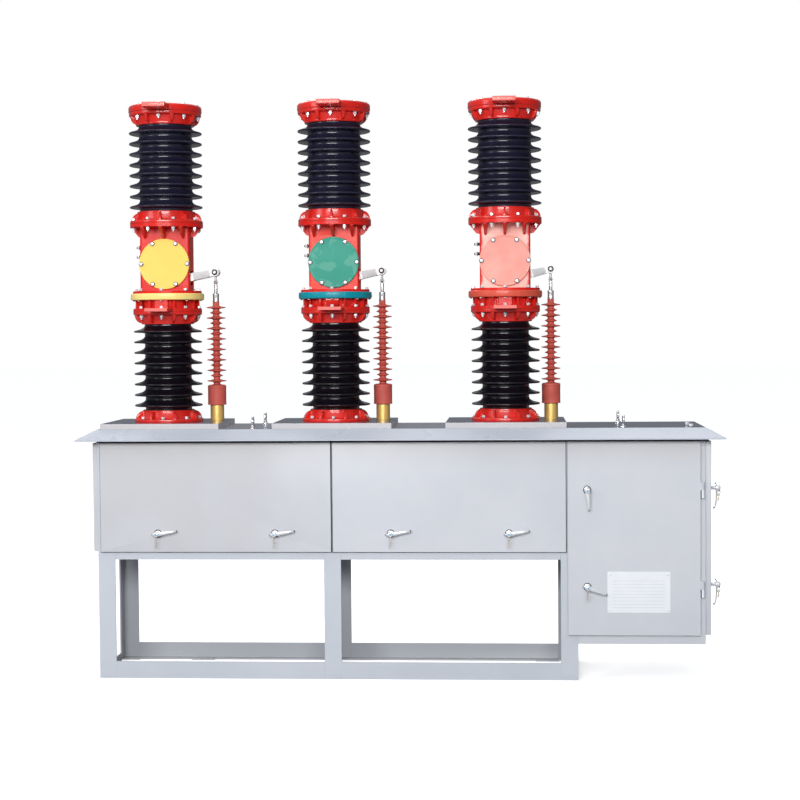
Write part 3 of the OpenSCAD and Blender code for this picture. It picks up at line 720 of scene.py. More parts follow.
def door(part, axis, materials):
    """A sheet pan with rounded front edges and a rubber seal; axis is the way it faces."""
    bm = merged(part)
    across, edge = 1 - axis, sizes().door_edge
    plane = max(bm.faces, key=lambda f: f.calc_area()).calc_center_median()[axis]
    front = [
        v.co for f in bm.faces for v in f.verts
        if abs(f.normal[axis]) > 0.99 and abs(f.calc_center_median()[axis] - plane) < 1e-5 and f.calc_area() > 0.01
    ]
    low, high = (Vector([pick(spot[k] for spot in front) for k in range(3)]) for pick in (min, max))

    def outer(spot):
        near = min(abs(spot[k] - limit[k]) for k in (across, 2) for limit in (low, high))
        return abs(spot[axis] - plane) < 1e-5 and near < 1.1 * edge

    def corner(spot):
        return all(min(abs(spot[k] - low[k]), abs(spot[k] - high[k])) < 1e-5 for k in (across, 2))

    eased(bm, [e for e in bm.edges if all(corner(v.co) for v in e.verts) and e.calc_length() < 0.1], edge, 3)
    sides = (e for e in bm.edges if any(abs(f.normal[axis]) < 0.1 for f in e.link_faces))
    eased(bm, [e for e in sides if all(outer(v.co) for v in e.verts)], edge, 3)
    # Faces above the door's top, the knuckles in the gap under the lid, get dark steel as painted shade; knuckles past
    # the hinge side get the Hinge shade paint
    for face in bm.faces:
        spot = face.calc_center_median()
        if spot.z > high.z + 1e-4:
            face.material_index = 2
        elif spot[across] > high[across] + 1e-4:
            face.material_index = 1
    finished(bm, f"{part}_sheet", materials, part, tidy=False)

    # Black rubber round the rear rim: a seal that also paints the shade in the gaps round the door, standing out a
    # little past the door's sides
    past, tucked = (-0.0008, 0.0045) if axis == 0 else (0.0028, 0.0012)
    near, far = (X_RIGHT + 0.001, X_RIGHT + 0.0045) if axis == 0 else (Y_FRONT - 0.005, Y_FRONT - 0.0014)
    start, end, foot, head = low[across], high[across], low.z - past, high.z + 0.001
    bm = bmesh.new()
    for a, b, bottom, top in (
        (start - past, start + tucked, foot, head), (end - tucked, end + past, foot, head),
        (start - past, end + past, foot, low.z + tucked), (start, end, high.z - tucked, head),
    ):
        bar(bm, *(((near, a, bottom), (far, b, top)) if axis == 0 else ((a, near, bottom), (b, far, top))))
    finished(bm, f"{part}_seal", [seal_and_shade_rubber()], body=body_of(part))


class BREAKER_OT_nameplate(bpy.types.Operator):
    """Build the bare nameplate with its rivets"""

    bl_idname = "breaker.nameplate"
    bl_label = "Nameplate"

    def execute(self, context):
        low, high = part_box("nameplate")
        cut, rivet_in, row = 0.004, 0.011, 0.0135
        outline = [
            (low.x + cut, low.z), (high.x - cut, low.z), (high.x, low.z + cut), (high.x, high.z - cut),
            (high.x - cut, high.z), (low.x + cut, high.z), (low.x, high.z - cut), (low.x, low.z + cut),
        ]
        bm = bmesh.new()
        added(bm, pushed([(x, low.y, z) for x, z in outline], (0, high.y - low.y, 0), 0.0004))
        for x in (low.x + rivet_in, high.x - rivet_in):
            for z in (low.z + rivet_in, high.z - rivet_in):
                screw(bm, (x, low.y, z), (0, -1, 0), 0.0042)

        def ruled(tree, place, skin):
            """Plain ruled rows inside the plate's margins, no wording."""
            wave = calc(tree, "SINE", calc(tree, "MULTIPLY", axis_of(tree, place, "Z"), 2 * pi / row))
            mask = remap(tree, wave, 0.94, 0.99)
            for axis, start, end in (("X", low.x + 0.022, high.x - 0.022), ("Z", low.z + 0.02, high.z - 0.035)):
                along = axis_of(tree, place, axis)
                for edge, value in (("GREATER_THAN", start), ("LESS_THAN", end)):
                    mask = calc(tree, "MULTIPLY", mask, calc(tree, edge, along, value))
            return blend(tree, calc(tree, "MULTIPLY", mask, 0.42), skin, srgb(120, 124, 130))

        etched = finish(
            "Etched plate", srgb(240, 242, 246), shade=srgb(224, 229, 236), dust=0.0, gloss=(0.3, 0.42),
            grain=(900.0, 0.6, 9.0, 0.4), bump=(0.2, 0.0003), stretch=(0.05, 1, 1), metallic=0.2, overlay=ruled,
        )
        finished(bm, "nameplate_blank", [etched], "nameplate")
        return {"FINISHED"}


# ---------- poles ----------


def levels(part):
    """Bottom and top of a pole's part."""
    low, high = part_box(part)
    return low.z, high.z


def radius_of(part):
    """Radius of a part that is round about the left pole."""
    return POLE_X[0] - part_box(part)[0].x


def shed_points(shed, core, tip, level):
    """A shed's outline; each point is a share of the reach from core to tip, an offset along it and a rise."""
    return [(core + share * (tip - core) + offset, level + rise) for share, offset, rise in shed]


# flat undersides and hollow tops that run out on the core; thousandths of the reach, then millimetres
PORCELAIN_SHED = mm(
    "0 0 -8.5, 0 2.5 -6.2, 0 12 -5.2, 500 0 -4.6, 1000 -4.5 -3.8, 1000 -1.8 -3.1, 1000 -0.4 -1.4, 1000 0 0.6, "
    "1000 -0.6 2.5, 1000 -2.6 3.9, 780 0 5.8, 580 0 8.2, 370 0 11.2, 200 0 14.8, 85 0 19.2, 20 0 23.2, 0 0 26"
)
RUBBER_SHED = mm(
    "0 0 -8.5, 200 0 -5, 1000 -3 -2.5, 1000 -0.6 -1.4, 1000 0 0, 1000 -0.6 1.2, 1000 -3.5 2, 350 0 4.2, "
    "80 0 6.8, 0 0 9.5"
)


def insulator_outline(height, core, tip, first=0.018, last=0.031, count=8):
    """Half the section of a shedded insulator."""
    outline = [(0, 0), (core, 0)]
    for k in range(count):
        level = first + k * (height - first - last) / (count - 1)
        outline += [point for point in shed_points(PORCELAIN_SHED, core, tip, level) if point[1] < height]
    return outline + [(core, height), (0, height)]


class BREAKER_OT_insulators(bpy.types.Operator):
    """Build the glazed porcelain insulators"""

    bl_idname = "breaker.insulators"
    bl_label = "Insulators"

    def execute(self, context):
        for part, core, base in (("lower_insulators", 0.097, "porcelain"), ("upper_insulators", 0.11, "porcelain_top")):
            skin = finish(
                f"Glaze {part}", tint_of(base), shade=1.6, warm=0.1, scale=14.0, dust=0.03, gloss=(0.2, 0.28),
                dust_tint=srgb(120, 104, 104), grain=(60.0, 0.25, 6.0, 0.6), bump=(0.25, 0.0009), stretch=(1, 1, 9),
                coat=0.2, specular=0.35,
            )
            bottom, top = levels(part)
            bm = bmesh.new()
            for x in POLE_X:
                turned(bm, insulator_outline(top - bottom, core, radius_of(part)), (x, 0, bottom), 80)
            finished(bm, f"{part}_glazed", [skin], part, crease=60)
        return {"FINISHED"}


def rib(bm, place, root, reach, toe, top, edge):
    """A collar's rib: wide on its flange, narrowing to a rounded end on the cup."""
    arc = [k * pi / 16 for k in range(9)]
    curve = [(root + reach * cos(t), toe + (top - toe) * sin(t)) for t in arc]
    outline = [(root - 0.006, toe - 0.003), (root + reach, toe - 0.003)] + curve + [(root - 0.006, top)]
    part = pushed([(r, -1, z) for r, z in outline], (0, 2, 0))
    wide, narrow = sizes().rib_width, sizes().rib_tip
    for vert in part.verts:
        share = min(1, max(0, (vert.co.z - toe) / (top - toe)))
        vert.co.y *= (wide + (narrow - wide) * share**0.8) / 2
    rims = [e for e in part.edges if e.verts[0].co.y * e.verts[1].co.y > 0 and max(v.co.x for v in e.verts) > root]
    eased(part, rims, edge)
    added(bm, part, place)


def collar(bm, x, joint, end, flange, thick, foot_r, cup_r, start_angle):
    """A ribbed collar: its flange lies at the joint level and its cup runs to the end level."""
    height = abs(end - joint)
    part = bmesh.new()
    turned(part, [
        (0, 0), (flange, 0, 0.0024), (flange, thick, 0.0045), (foot_r + 0.004, thick, 0.004),
        (foot_r, thick + 0.004, 0.003), (cup_r, height - 0.009, 0.003), (cup_r, height, 0.0045), (0, height),
    ])
    root = cup_r - 0.003
    for k in range(8):
        turn = about("Z", 45 * k + start_angle)
        rib(part, turn, root, flange - 0.004 - root, thick, height - 0.004, sizes().cast_edge)
    added(bm, part, at(x, 0, joint) @ Matrix.Diagonal((1, 1, 1 if end > joint else -1, 1)))


def pad_end(spot, normal):
    """Whether a face is the front end of a terminal pad, which gets the paler paint of painted light."""
    return normal.y < -0.9 and spot.y < -0.2


class BREAKER_OT_castings(bpy.types.Operator):
    """Build the red flanges, ribbed collars, necks and end caps"""

    bl_idname = "breaker.castings"
    bl_label = "Castings"

    def execute(self, context):
        paint = cast_paint("Casting paint", tint_of("casting"))
        # The pads' front ends get a paler paint as painted light
        ends = cast_paint("Bleached casting paint", tint_of("bleached"), 0.45, 0.4, 0.88)
        for part, hangs, *shape in (
            # part, hangs from its flange, flange thickness, radii at the flange and at the cup's end, first rib
            ("base_flanges", False, 0.013, 0.116, 0.109, 22.5),
            ("lower_collars", True, 0.013, 0.118, 0.11, 22.5),
            ("middle_collars", False, 0.013, 0.124, 0.121, 0),
            ("top_collars", True, 0.015, 0.127, 0.122, 22.5),
        ):
            bottom, top = levels(part)
            joint, end = (top, bottom) if hangs else (bottom, top)
            bm = bmesh.new()
            for x in POLE_X:
                collar(bm, x, joint, end, radius_of(part), *shape)
            finished(bm, f"{part}_cast", [paint], part)
        bm = merged("terminal_necks")
        painted(bm, pad_end)
        finished(bm, "terminal_necks_cast", [paint, ends], "terminal_necks", edge=0.002, tidy=False)
        caps([paint, ends])
        gaskets()
        return {"FINISHED"}


def caps(paints):
    """Caps with rolled rims; the terminal pad reaches forward at the foot."""
    bottom, top = levels("top_caps")
    rim = radius_of("top_caps")
    height = top - bottom - 0.007
    bm = bmesh.new()
    outline = [
        (0, 0), (rim, 0, 0.0024), (rim, height - 0.001, 0.011), (rim - 0.024, height, 0.006),
        (rim - 0.036, height - 0.003, 0.006), (0.03, height - 0.003, 0.004), (0.026, height, 0.003), (0, height),
    ]
    for x in POLE_X:
        turned(bm, outline, (x, 0, bottom), arcs=5)
        terminal(bm, x, bottom, rim)
    outward(bm)
    painted(bm, pad_end)
    finished(bm, "top_caps_cast", paints, "top_caps", crease=34)


def gaskets():
    """Dark gaskets that show as seams between the flanges."""
    bm = bmesh.new()
    half, inset, deep = 0.0011, 0.0006, 0.008
    for part in ("lower_collars", "middle_collars", "top_caps"):
        bottom, top = levels(part)
        joint = top if part == "lower_collars" else bottom
        outer = radius_of("top_collars" if part == "top_caps" else part) - inset
        inner = outer - deep
        for x in POLE_X:
            turned(bm, [(inner, -half), (outer, -half), (outer, half), (inner, half), (inner, 0)], (x, 0, joint))
    finished(bm, "flange_gaskets", [seal_and_shade_rubber()])


def terminal(bm, x, bottom, rim):
    """A flat terminal pad with four bolt holes, reaching forward from a round flange."""
    half, hole, pitch, row, thick = 0.0465, 0.007, 0.025, -0.2, 0.019
    part = bmesh.new()
    for sx in (-1, 1):
        for sy in (-1, 1):
            place = at(sx * pitch, row + sy * pitch, 0)
            ring = bmesh.ops.create_circle(part, segments=20, radius=hole, matrix=place)["verts"]
            far_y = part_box("top_caps")[0].y if sy < 0 else -rim * 0.86
            corners = [(0, row), (sx * half, row), (sx * half, far_y), (0, far_y)]
            outer = [part.verts.new((px, py, 0)) for px, py in corners]
            border = [part.edges.new((outer[k], outer[(k + 1) % 4])) for k in range(4)]
            inner = list({e for v in ring for e in v.link_edges})
            bmesh.ops.triangle_fill(part, edges=inner + border, use_beauty=True)
    bmesh.ops.remove_doubles(part, verts=part.verts, dist=1e-6)
    raised(part, part.faces[:], (0, 0, thick))
    outward(part)
    rims = [
        e for e in part.edges
        if len(e.link_faces) == 2 and e.calc_face_angle(0) > 1.2 and all(v.co.y < row - pitch * 1.5 for v in e.verts)
    ]
    eased(part, rims, 0.0018)
    added(bm, part, at(x, 0, bottom))


class BREAKER_OT_housings(bpy.types.Operator):
    """Build the housings with their flanges and gussets"""

    bl_idname = "breaker.housings"
    bl_label = "Housings"

    def execute(self, context):
        top = levels("housings")[1] - 0.015
        bm = merged("housings")
        corners = [
            e for e in bm.edges
            if abs(e.verts[0].co.z - e.verts[1].co.z) > 0.1
            and all(abs(abs(v.co.y) - HOUSING_HALF_DEPTH) < 2e-4 for v in e.verts)
            and all(min(abs(abs(v.co.x - x) - HOUSING_HALF_WIDTH) for x in POLE_X) < 2e-4 for v in e.verts)
        ]
        eased(bm, corners, 0.009, 4)
        for x in POLE_X:
            for dx in (-0.08, 0, 0.08):
                for side in (-1, 1):
                    gusset(bm, x + dx, top, side, sqrt(0.143**2 - dx**2) - HOUSING_HALF_DEPTH)

        def front_of(spot, normal):
            pole = min(range(3), key=lambda k: abs(POLE_X[k] - spot.x))
            return pole * (normal.y < -0.9 and abs(spot.y + HOUSING_HALF_DEPTH) < 1e-3 and spot.z < top)

        painted(bm, front_of)
        dull = {"specular": 0.25, "coat": 0.08}
        # The middle and right front walls get paler paints as painted light; the right one as painted glare
        fronts = [
            cast_paint("Housing paint", tint_of("housing"), 0.3, 0.35, **dull),
            cast_paint("Middle housing front", tint_of("middle_front_light"), 0.3, 0.3, 0.86, **dull),
            cast_paint("Right housing front", tint_of("right_front_glare"), 0.42, 0.3, 0.9, bleached, 0.3, 0.08),
        ]
        finished(bm, "housings_cast", fronts, "housings", edge=0.002, tidy=False)
        side_bolts()
        return {"FINISHED"}


def gusset(bm, x, top, side, reach):
    """A gusset under the top flange: wide above, narrowing to a rounded foot on the wall."""
    drop, wide, narrow = 0.049, 0.0095, 0.005
    profile = [(-0.002, 0.001), (reach, 0.001), (reach, -0.005), (reach * 0.62, -0.022), (reach * 0.3, -0.037),
               (0.004, -0.046), (-0.002, -drop)]
    part = pushed([(-1, r, z) for r, z in profile], (2, 0, 0))
    for vert in part.verts:
        vert.co.x *= wide - (wide - narrow) * min(1, max(0, -vert.co.z / drop))
    eased(part, [e for e in part.edges if e.verts[0].co.x * e.verts[1].co.x > 0], 0.003)
    bmesh.ops.transform(part, matrix=Matrix.Diagonal((1, side, 1, 1)), verts=part.verts)
    outward(part)
    added(bm, part, at(x, side * HOUSING_HALF_DEPTH, top))


def bleached(tree, place, skin):
    """Painted glare on the right wall, with red left along its edges and in specks."""
    red = tint_of("housing")
    away = calc(tree, "ABSOLUTE", calc(tree, "SUBTRACT", axis_of(tree, place, "X"), POLE_X[2]))
    ragged = calc(tree, "MULTIPLY_ADD", noise(tree, place, 30.0, 5.0), 0.02, away)
    skin = blend(tree, remap(tree, noise(tree, place, 16.0, 4.0), 0.5, 0.8, 0.0, 0.4), skin, red)
    return blend(tree, remap(tree, ragged, 0.099, 0.109), skin, red)


def side_bolts():
    """Two long bolts that stand out of each housing's left wall."""
    bm = bmesh.new()
    for x in POLE_X:
        wall = x - HOUSING_HALF_WIDTH
        for z in (PLINTH_TOP + 0.731, PLINTH_TOP + 0.691):
            rod(bm, (wall + 0.002, 0, z), (wall - 0.012, 0, z), 0.0065, 1)
            rod(bm, (wall - 0.011, 0, z), (wall - 0.0235, 0, z), 0.0046, 1)
            bolt(bm, at(wall - 0.0095, 0, z) @ about("Y", -90), 0.0135, 0.008)
    finished(bm, "housing_side_bolts", bolting())


class BREAKER_OT_phase_marks(bpy.types.Operator):
    """Build the coloured phase rings and the round access covers"""

    bl_idname = "breaker.phase_marks"
    bl_label = "Phase Rings and Covers"

    def execute(self, context):
        dull = {"specular": 0.3, "coat": 0.1}
        for x, side, ring_slot, cover_slot, mottle, shade in (
            (POLE_X[0], "left", "phase_yellow_pale", "phase_yellow", 0.5, 0.93),
            (POLE_X[1], "middle", "phase_teal", "phase_green", 0.55, 0.9),
            # The right cover's pale pink is painted glare, mottled back towards red
            (POLE_X[2], "right", "phase_orange", "phase_pink", 0.3, srgb(226, 96, 82)),
        ):
            paint = cast_paint(f"Ring paint {side}", tint_of(f"ring_{side}"), 0.32, 0.3, 0.86, **dull)
            phase_ring(x, f"phase_ring_{side}", paint)
            overlay = worn if side == "middle" else None
            paint = cast_paint(f"Cover paint {side}", tint_of(f"cover_{side}"), 0.42, mottle, shade, overlay, **dull)
            access_cover(x, f"access_cover_{side}", paint)
        return {"FINISHED"}


def worn(tree, place, skin):
    """Paler patches where the middle cover's paint is rubbed."""
    patch = remap(tree, noise(tree, place, 19.0), 0.5, 0.56, 0.0, 0.6)
    return blend(tree, patch, skin, srgb(92, 168, 148))


def phase_ring(x, part, paint):
    """A bulging band with a joint right of the middle."""
    low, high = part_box(part)
    outer, height = (high.x - low.x) / 2, high.z - low.z
    flank, seam, groove = outer - 0.001, x + 0.048, 0.0014
    bm = bmesh.new()
    outline = [(0, 0), (flank, 0, 0.004), (outer, height * 0.5, 0.01), (flank, height, 0.004), (0, height)]
    turned(bm, outline, (x, 0, low.z), 120, 4)
    geometry = bm.verts[:] + bm.edges[:] + bm.faces[:]
    bmesh.ops.bisect_plane(bm, geom=geometry, plane_co=(seam, 0, 0), plane_no=(1, 0, 0))
    for vert in bm.verts:
        arm = vert.co.xy - Vector((x, 0))
        if abs(vert.co.x - seam) < 1e-5 and arm.length > outer - 0.006 and vert.co.y < 0:
            vert.co.xy -= arm.normalized() * groove
    finished(bm, f"{part}_band", [paint], part)


def access_cover(x, part, paint):
    """A turned disc with a shallow raised rim line on a dark gasket."""
    low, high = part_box(part)
    outer, thick, steps = (high.x - low.x) / 2, high.y - low.y, sizes().turning_steps
    aim = at(x, high.y, (low.z + high.z) / 2) @ TO_FRONT
    disc = [
        (0, 0.0015), (outer, 0.0015, 0.0004), (outer, thick - 0.0012, 0.0026), (outer - 0.0045, thick - 0.0004, 0.001),
        (outer - 0.0085, thick - 0.0014, 0.001), (0, thick - 0.0014),
    ]
    bm = bmesh.new()
    turning(bm, disc, aim, 0, steps, 4)
    turning(bm, [(0, 0), (outer - 0.0003, 0), (outer - 0.0003, 0.0016), (0, 0.0016)], aim, 1, steps)
    finished(bm, f"{part}_disc", [paint, seal_and_shade_rubber()], part)


# ---------- drive ----------


class BREAKER_OT_cranks(bpy.types.Operator):
    """Build the crank arms that leave the housings"""

    bl_idname = "breaker.cranks"
    bl_label = "Crank Arms"

    def execute(self, context):
        plating = metal("Crank plating", tint_of("crank"), rough=0.34, shade=0.93, stretch=(1, 1, 1), metallic=0.0)
        for x, side in zip(POLE_X, SIDES):
            part = f"crank_arm_{side}"
            bm = merged(part)
            for facing in (-1, 1):
                aim = at(x + ROD_X, ROD_Y + facing * 0.027, PIN_Z) @ about("X", -90 * facing)
                turning(bm, mm("0 0, 12.5 0, 12.5 1.2, 0 1.2"), aim, 1)
                bolt(bm, aim, 0.0115, 0.004)
            paints = [plating, black_metal_and_shade()]
            finished(bm, f"{part}_plated", paints, part, edge=0.0015, tidy=False)
        return {"FINISHED"}


class BREAKER_OT_rods(bpy.types.Operator):
    """Build the silicone operating rods, their steel ends and the guide tubes"""

    bl_idname = "breaker.rods"
    bl_label = "Operating Rods"

    def execute(self, context):
        silicone = rubber("Silicone", tint_of("silicone"))
        # The polished steel's rim darkening is a painted reflection
        polished = metal("Polished steel", tint_of("steel"), rough=0.14, metallic=0.5, stretch=(1, 1, 0.1), rim=1.0)
        for x, side in zip(POLE_X, SIDES):
            centre = (x + ROD_X, ROD_Y, PLINTH_TOP)
            shedded_rod(f"operating_rod_{side}", centre, silicone)
            rod_end(f"rod_end_{side}", centre, [polished, black_metal_and_shade()])
        guide_tubes()
        return {"FINISHED"}


def shedded_rod(part, centre, silicone):
    """Core, alternate large and small sheds, and the boot over the guide tube."""
    core, large, small = 0.0136, 0.0405, 0.026
    first, last, count = 0.167, 0.479, 15
    outline = mm(
        "0 -30, 12 -30, 12 141, 34 141, 34 66, 35.5 65, 39.5 65 2, 39.5 70 1, 38.8 73 1, 38.8 138 2, 39.5 141 1, "
        "38.5 147 3, 34 149.5 3, 16.6 151.5 3, 13.6 157"
    )
    for k in range(count):
        level = first + k * (last - first) / (count - 1)
        outline += shed_points(RUBBER_SHED, core, small if k % 2 else large, level)
    bm = bmesh.new()
    turned(bm, outline + mm("13.6 502, 0 502"), centre, 40)
    finished(bm, f"{part}_moulded", [silicone], part, crease=50)


def rod_end(part, centre, materials):
    """Crimped ferrule, stud, lock nut and the eye on the pin."""
    x, y, z = centre
    bm = bmesh.new()
    ferrule = "0 502, 13 502 1, 13 507 1, 12.6 508, 12.6 530, 13 531 1, 13 537 1.5, 7.5 539, 7 540"
    turned(bm, mm(ferrule + ", 7 577 1, 4.5 579, 4.5 620, 0 620"), centre, 32)
    bolt(bm, at(x, y, z + 0.582), 0.0145, 0.008)
    for height in (z + 0.505, z + 0.534):
        rod(bm, (x - 0.011, y - 0.006, height), (x - 0.0128, y - 0.0069, height), 0.0016, 1, 8)
    eye = mm("8.2 -8, 15 -8 1, 16 -6.5 1, 16 6.5 1, 15 8 1, 8.2 8, 8.2 0")
    turning(bm, eye, at(x, y, PIN_Z) @ TO_FRONT, 0, 40)
    finished(bm, f"{part}_steel", materials, part)


def guide_tubes():
    """Yellow guide tubes with a turned lip."""
    low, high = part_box("guide_tubes")
    outer = (high.x - low.x - (POLE_X[2] - POLE_X[0])) / 2
    bore, height, lip = outer - 0.004, high.z - low.z, 0.0015
    outline = [
        (bore, height * 0.5), (bore, 0), (outer, 0, 0.001), (outer, height - lip, lip), (outer - lip, height, 0.001),
        (bore, height, 0.001), (bore, height * 0.9),
    ]
    bm = bmesh.new()
    for x in POLE_X:
        turned(bm, outline, (x + ROD_X, ROD_Y, low.z), 64)
    # The last value darkens the tube's edges as a painted reflection
    brass = metal("Yellow passivated", tint_of("brass"), 0.34, 0.92, 0.4, (1, 1, 0.1), 0.35)
    finished(bm, "guide_tubes_turned", [brass], "guide_tubes")


# ---------- bolts ----------


def bolt(bm, place, across, height, stud=0.0):
    """A bolt head or a nut on a dark washer that paints the contact shade round it, with the stud that stands past a
    nut.
    """
    corner, rise, stud_radius, chamfer = across / sqrt(3), 0.0015, 0.0034, 0.001
    # The wider dark washer paints the contact shade round the head
    turning(bm, [(0, 0), (corner * 1.3, 0), (corner * 1.3, rise), (0, rise)], place, 1, 16)
    prism(bm, 6, corner, height, place @ at(0, 0, rise + height / 2), crown=height * 0.12)
    if stud:
        foot, tip = rise + height - 0.002, rise + height + stud
        shank = [(0, foot), (stud_radius, foot), (stud_radius, tip - chamfer), (stud_radius - chamfer, tip), (0, tip)]
        turning(bm, shank, place, steps=12)


class BREAKER_OT_bolts(bpy.types.Operator):
    """Build the bolts, nuts and washers on the poles"""

    bl_idname = "breaker.bolts"
    bl_label = "Pole Bolts"

    def execute(self, context):
        across, stud = sizes().bolt_across, sizes().stud_length
        head, nut = (across, 0.0085), (across, 0.0105, stud)
        neck_low = levels("terminal_necks")[0]
        housing_low, housing_high = levels("housings")
        cap_low, cap_high = levels("top_caps")
        circles = (
            # level, radius, first angle, hangs down, shape
            (levels("base_flanges")[0] + 0.013, 0.1295, 0, False, head),
            (neck_low + 0.013, 0.1325, 0, False, head),
            (neck_low - 0.013, 0.1305, 0, True, nut),
            (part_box("phase_ring_left")[0].z, 0.1425, 0, True, (0.0085, 0.003)),
            (housing_low + 0.010, 0.1325, 0, False, head),
            (levels("middle_collars")[0] + 0.013, 0.1405, 22.5, False, head),
            (housing_high - 0.015, 0.139, 22.5, True, nut),
            (cap_low - 0.015, 0.138, 0, True, nut),
            (cap_high - 0.0096, 0.1345, 0, False, (across * 0.9, 0.0066)),
        )
        cover_low, cover_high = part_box("access_cover_left")
        middle, cover_circle = (cover_low.z + cover_high.z) / 2, 0.097
        chance = random.Random(11)
        for x, side in zip(POLE_X, SIDES):
            bm = bmesh.new()
            for level, radius, start, down, shape in circles:
                for angle in (radians(45 * k + start) for k in range(8)):
                    spot = at(x + radius * cos(angle), radius * sin(angle), level)
                    turn = about("Z", 60 * chance.random())
                    bolt(bm, spot @ about("X", 180 * down) @ turn, *shape)
            for angle in (radians(60 * k) for k in range(6)):
                dx, dz = cover_circle * cos(angle), cover_circle * sin(angle)
                turn = about("Z", degrees(chance.random()))
                bolt(bm, at(x + dx, cover_low.y + 0.0012, middle + dz) @ TO_FRONT @ turn, sizes().cover_bolt, 0.006)
            finished(bm, f"pole_bolts_{side}", bolting())
        return {"FINISHED"}


# ---------- handles ----------


class BREAKER_OT_handles(bpy.types.Operator):
    """Build the swing handles of the flaps and doors, with their keys"""

    bl_idname = "breaker.handles"
    bl_label = "Handles"

    def execute(self, context):
        materials = [
            metal("Satin chrome", tint_of("handle"), rough=0.1, stretch=(1, 1, 1), shade=0.95, metallic=0.45),
            rubber("Dark tip", tint_of("dark_steel"), 0.4, 0.1),
            cast_paint("Badge enamel", srgb(96, 178, 210), 0.2, 0.3),
            metal("Key steel", srgb(206, 192, 178), rough=0.3, metallic=0.5),
            rubber("Brown cap", srgb(150, 88, 56), 0.4, 0.1),
        ]
        turns = {"mechanism_handle_upper": -85, "mechanism_handle_lower": -21}
        for joint in frame["joints"]:
            part = joint["child"]
            if "_handle_" not in part:
                continue
            sideways = part.startswith("end_")
            bm = handle(turns.get(part, -90 if sideways else 8), part != "mechanism_handle_upper", sideways)
            place = at(*joint["pos_m"]) @ about("Z", 90 * sideways) @ TO_FRONT
            bmesh.ops.transform(bm, matrix=place, verts=bm.verts)
            finished(bm, f"{part}_lever", materials, part, crease=40)
        return {"FINISHED"}


# along, half width, height, half thickness, in millimetres
ARM = mm(
    "4 9.4 29.2 3.6, 10 9.4 29.2 3.6, 22 8 29 3.2, 45 6.1 28 2.8, 62 5.1 26.4 2.6, 71 4.6 24.4 2.4, "
    "77.5 4.1 21.6 2.2, 81 3.7 19 2.1"
)
TAIL = mm("-6 4.2 30 2.8, -11 3.6 29.7 2.5, -15.5 3.1 27.8 2.2, -19 2.8 25 2")
STEM = mm(
    "0 -10, 7.8 -10 1, 7.8 1.7, 13.2 1.7, 13.2 5 1.8, 8 6.2 1, 6.8 7.5 1, 6.6 24, 10.2 24.5 1, 11.2 27 2, "
    "10.8 39 2, 8.8 43.6 3, 5.2 44.3 0.5, 4.8 43.6, 0 43.6"
)


def handle(turn, key, capped):
    """One handle with its axle on the origin, standing out along Z; its lever turned by some degrees."""
    bm = bmesh.new()
    # A dark disc wider than the rosette paints the shadow line round it
    turning(bm, mm("0 0.3, 16.3 0.3, 16.3 1.8, 0 1.8"), material=1, steps=40)
    turning(bm, STEM, steps=40)
    turning(bm, mm("0 44.7, 3.6 44.6, 4.4 44, 4.4 43, 0 43"), material=2)
    prism(bm, 6, 0.0125, 0.0045, at(0, 0, -0.0052), 1)
    aim = about("Z", turn)
    for stations, size in ((ARM, 0.0043), (TAIL, 0.0035)):
        blade(bm, stations, aim)
        along, _, height, _ = stations[-1]
        ball(bm, size, aim @ at(along, 0, height - 0.001) @ Matrix.Diagonal((0.9, 1, 0.75, 1)), 1)
    if key:
        keys(bm)
    if capped:
        ball(bm, 0.0034, at(0, -0.0122, 0.04), 4)
    return bm


def blade(bm, stations, aim):
    """A bar of oval sections that narrows towards its end."""
    part = bmesh.new()
    last = []
    for along, half, middle, thick in stations:
        stand = Matrix(((0, 0, 1, along), (1, 0, 0, 0), (0, 1, 0, middle), (0, 0, 0, 1)))
        size = Matrix.Diagonal((half, thick, 1, 1))
        ring = bmesh.ops.create_circle(part, segments=14, radius=1, matrix=stand @ size)["verts"]
        loop = list({e for v in ring for e in v.link_edges})
        if last:
            bmesh.ops.bridge_loops(part, edges=last + loop)
        last = loop
    bmesh.ops.holes_fill(part, edges=[e for e in part.edges if len(e.link_faces) == 1], sides=0)
    added(bm, part, aim)


def keys(bm):
    """A split ring at the head with two small keys."""
    radius, wire = 0.0062, 0.0008
    loop = [(radius + wire * cos(t), wire * sin(t)) for t in (k * pi / 4 for k in range(8))]
    hang = at(0, -0.0175, 0.0385)
    turning(bm, loop + loop[:1], hang @ about("Y", 180 / 2.6), 3)
    for turn, lean, drop in ((0, -5, 0.0065), (86, 6, 0.0085)):
        aim = hang @ about("Y", turn) @ about("Z", lean) @ at(0, -drop, 0)
        turning(bm, mm("2 -0.8, 5.4 -0.8, 5.4 0.8, 2 0.8, 2 0"), aim @ at(0, -0.003, 0), 3, 20)
        shank = bmesh.new()
        for left, foot, right, head in mm("-1.7 -28 1.7 -7.5, 1.5 -26.5 3.1 -23.5, 1.5 -21.5 2.6 -19"):
            bar(shank, (left, foot, -wire), (right, head, wire))
        added(bm, shank, aim, 3)


# ---------- stage ----------


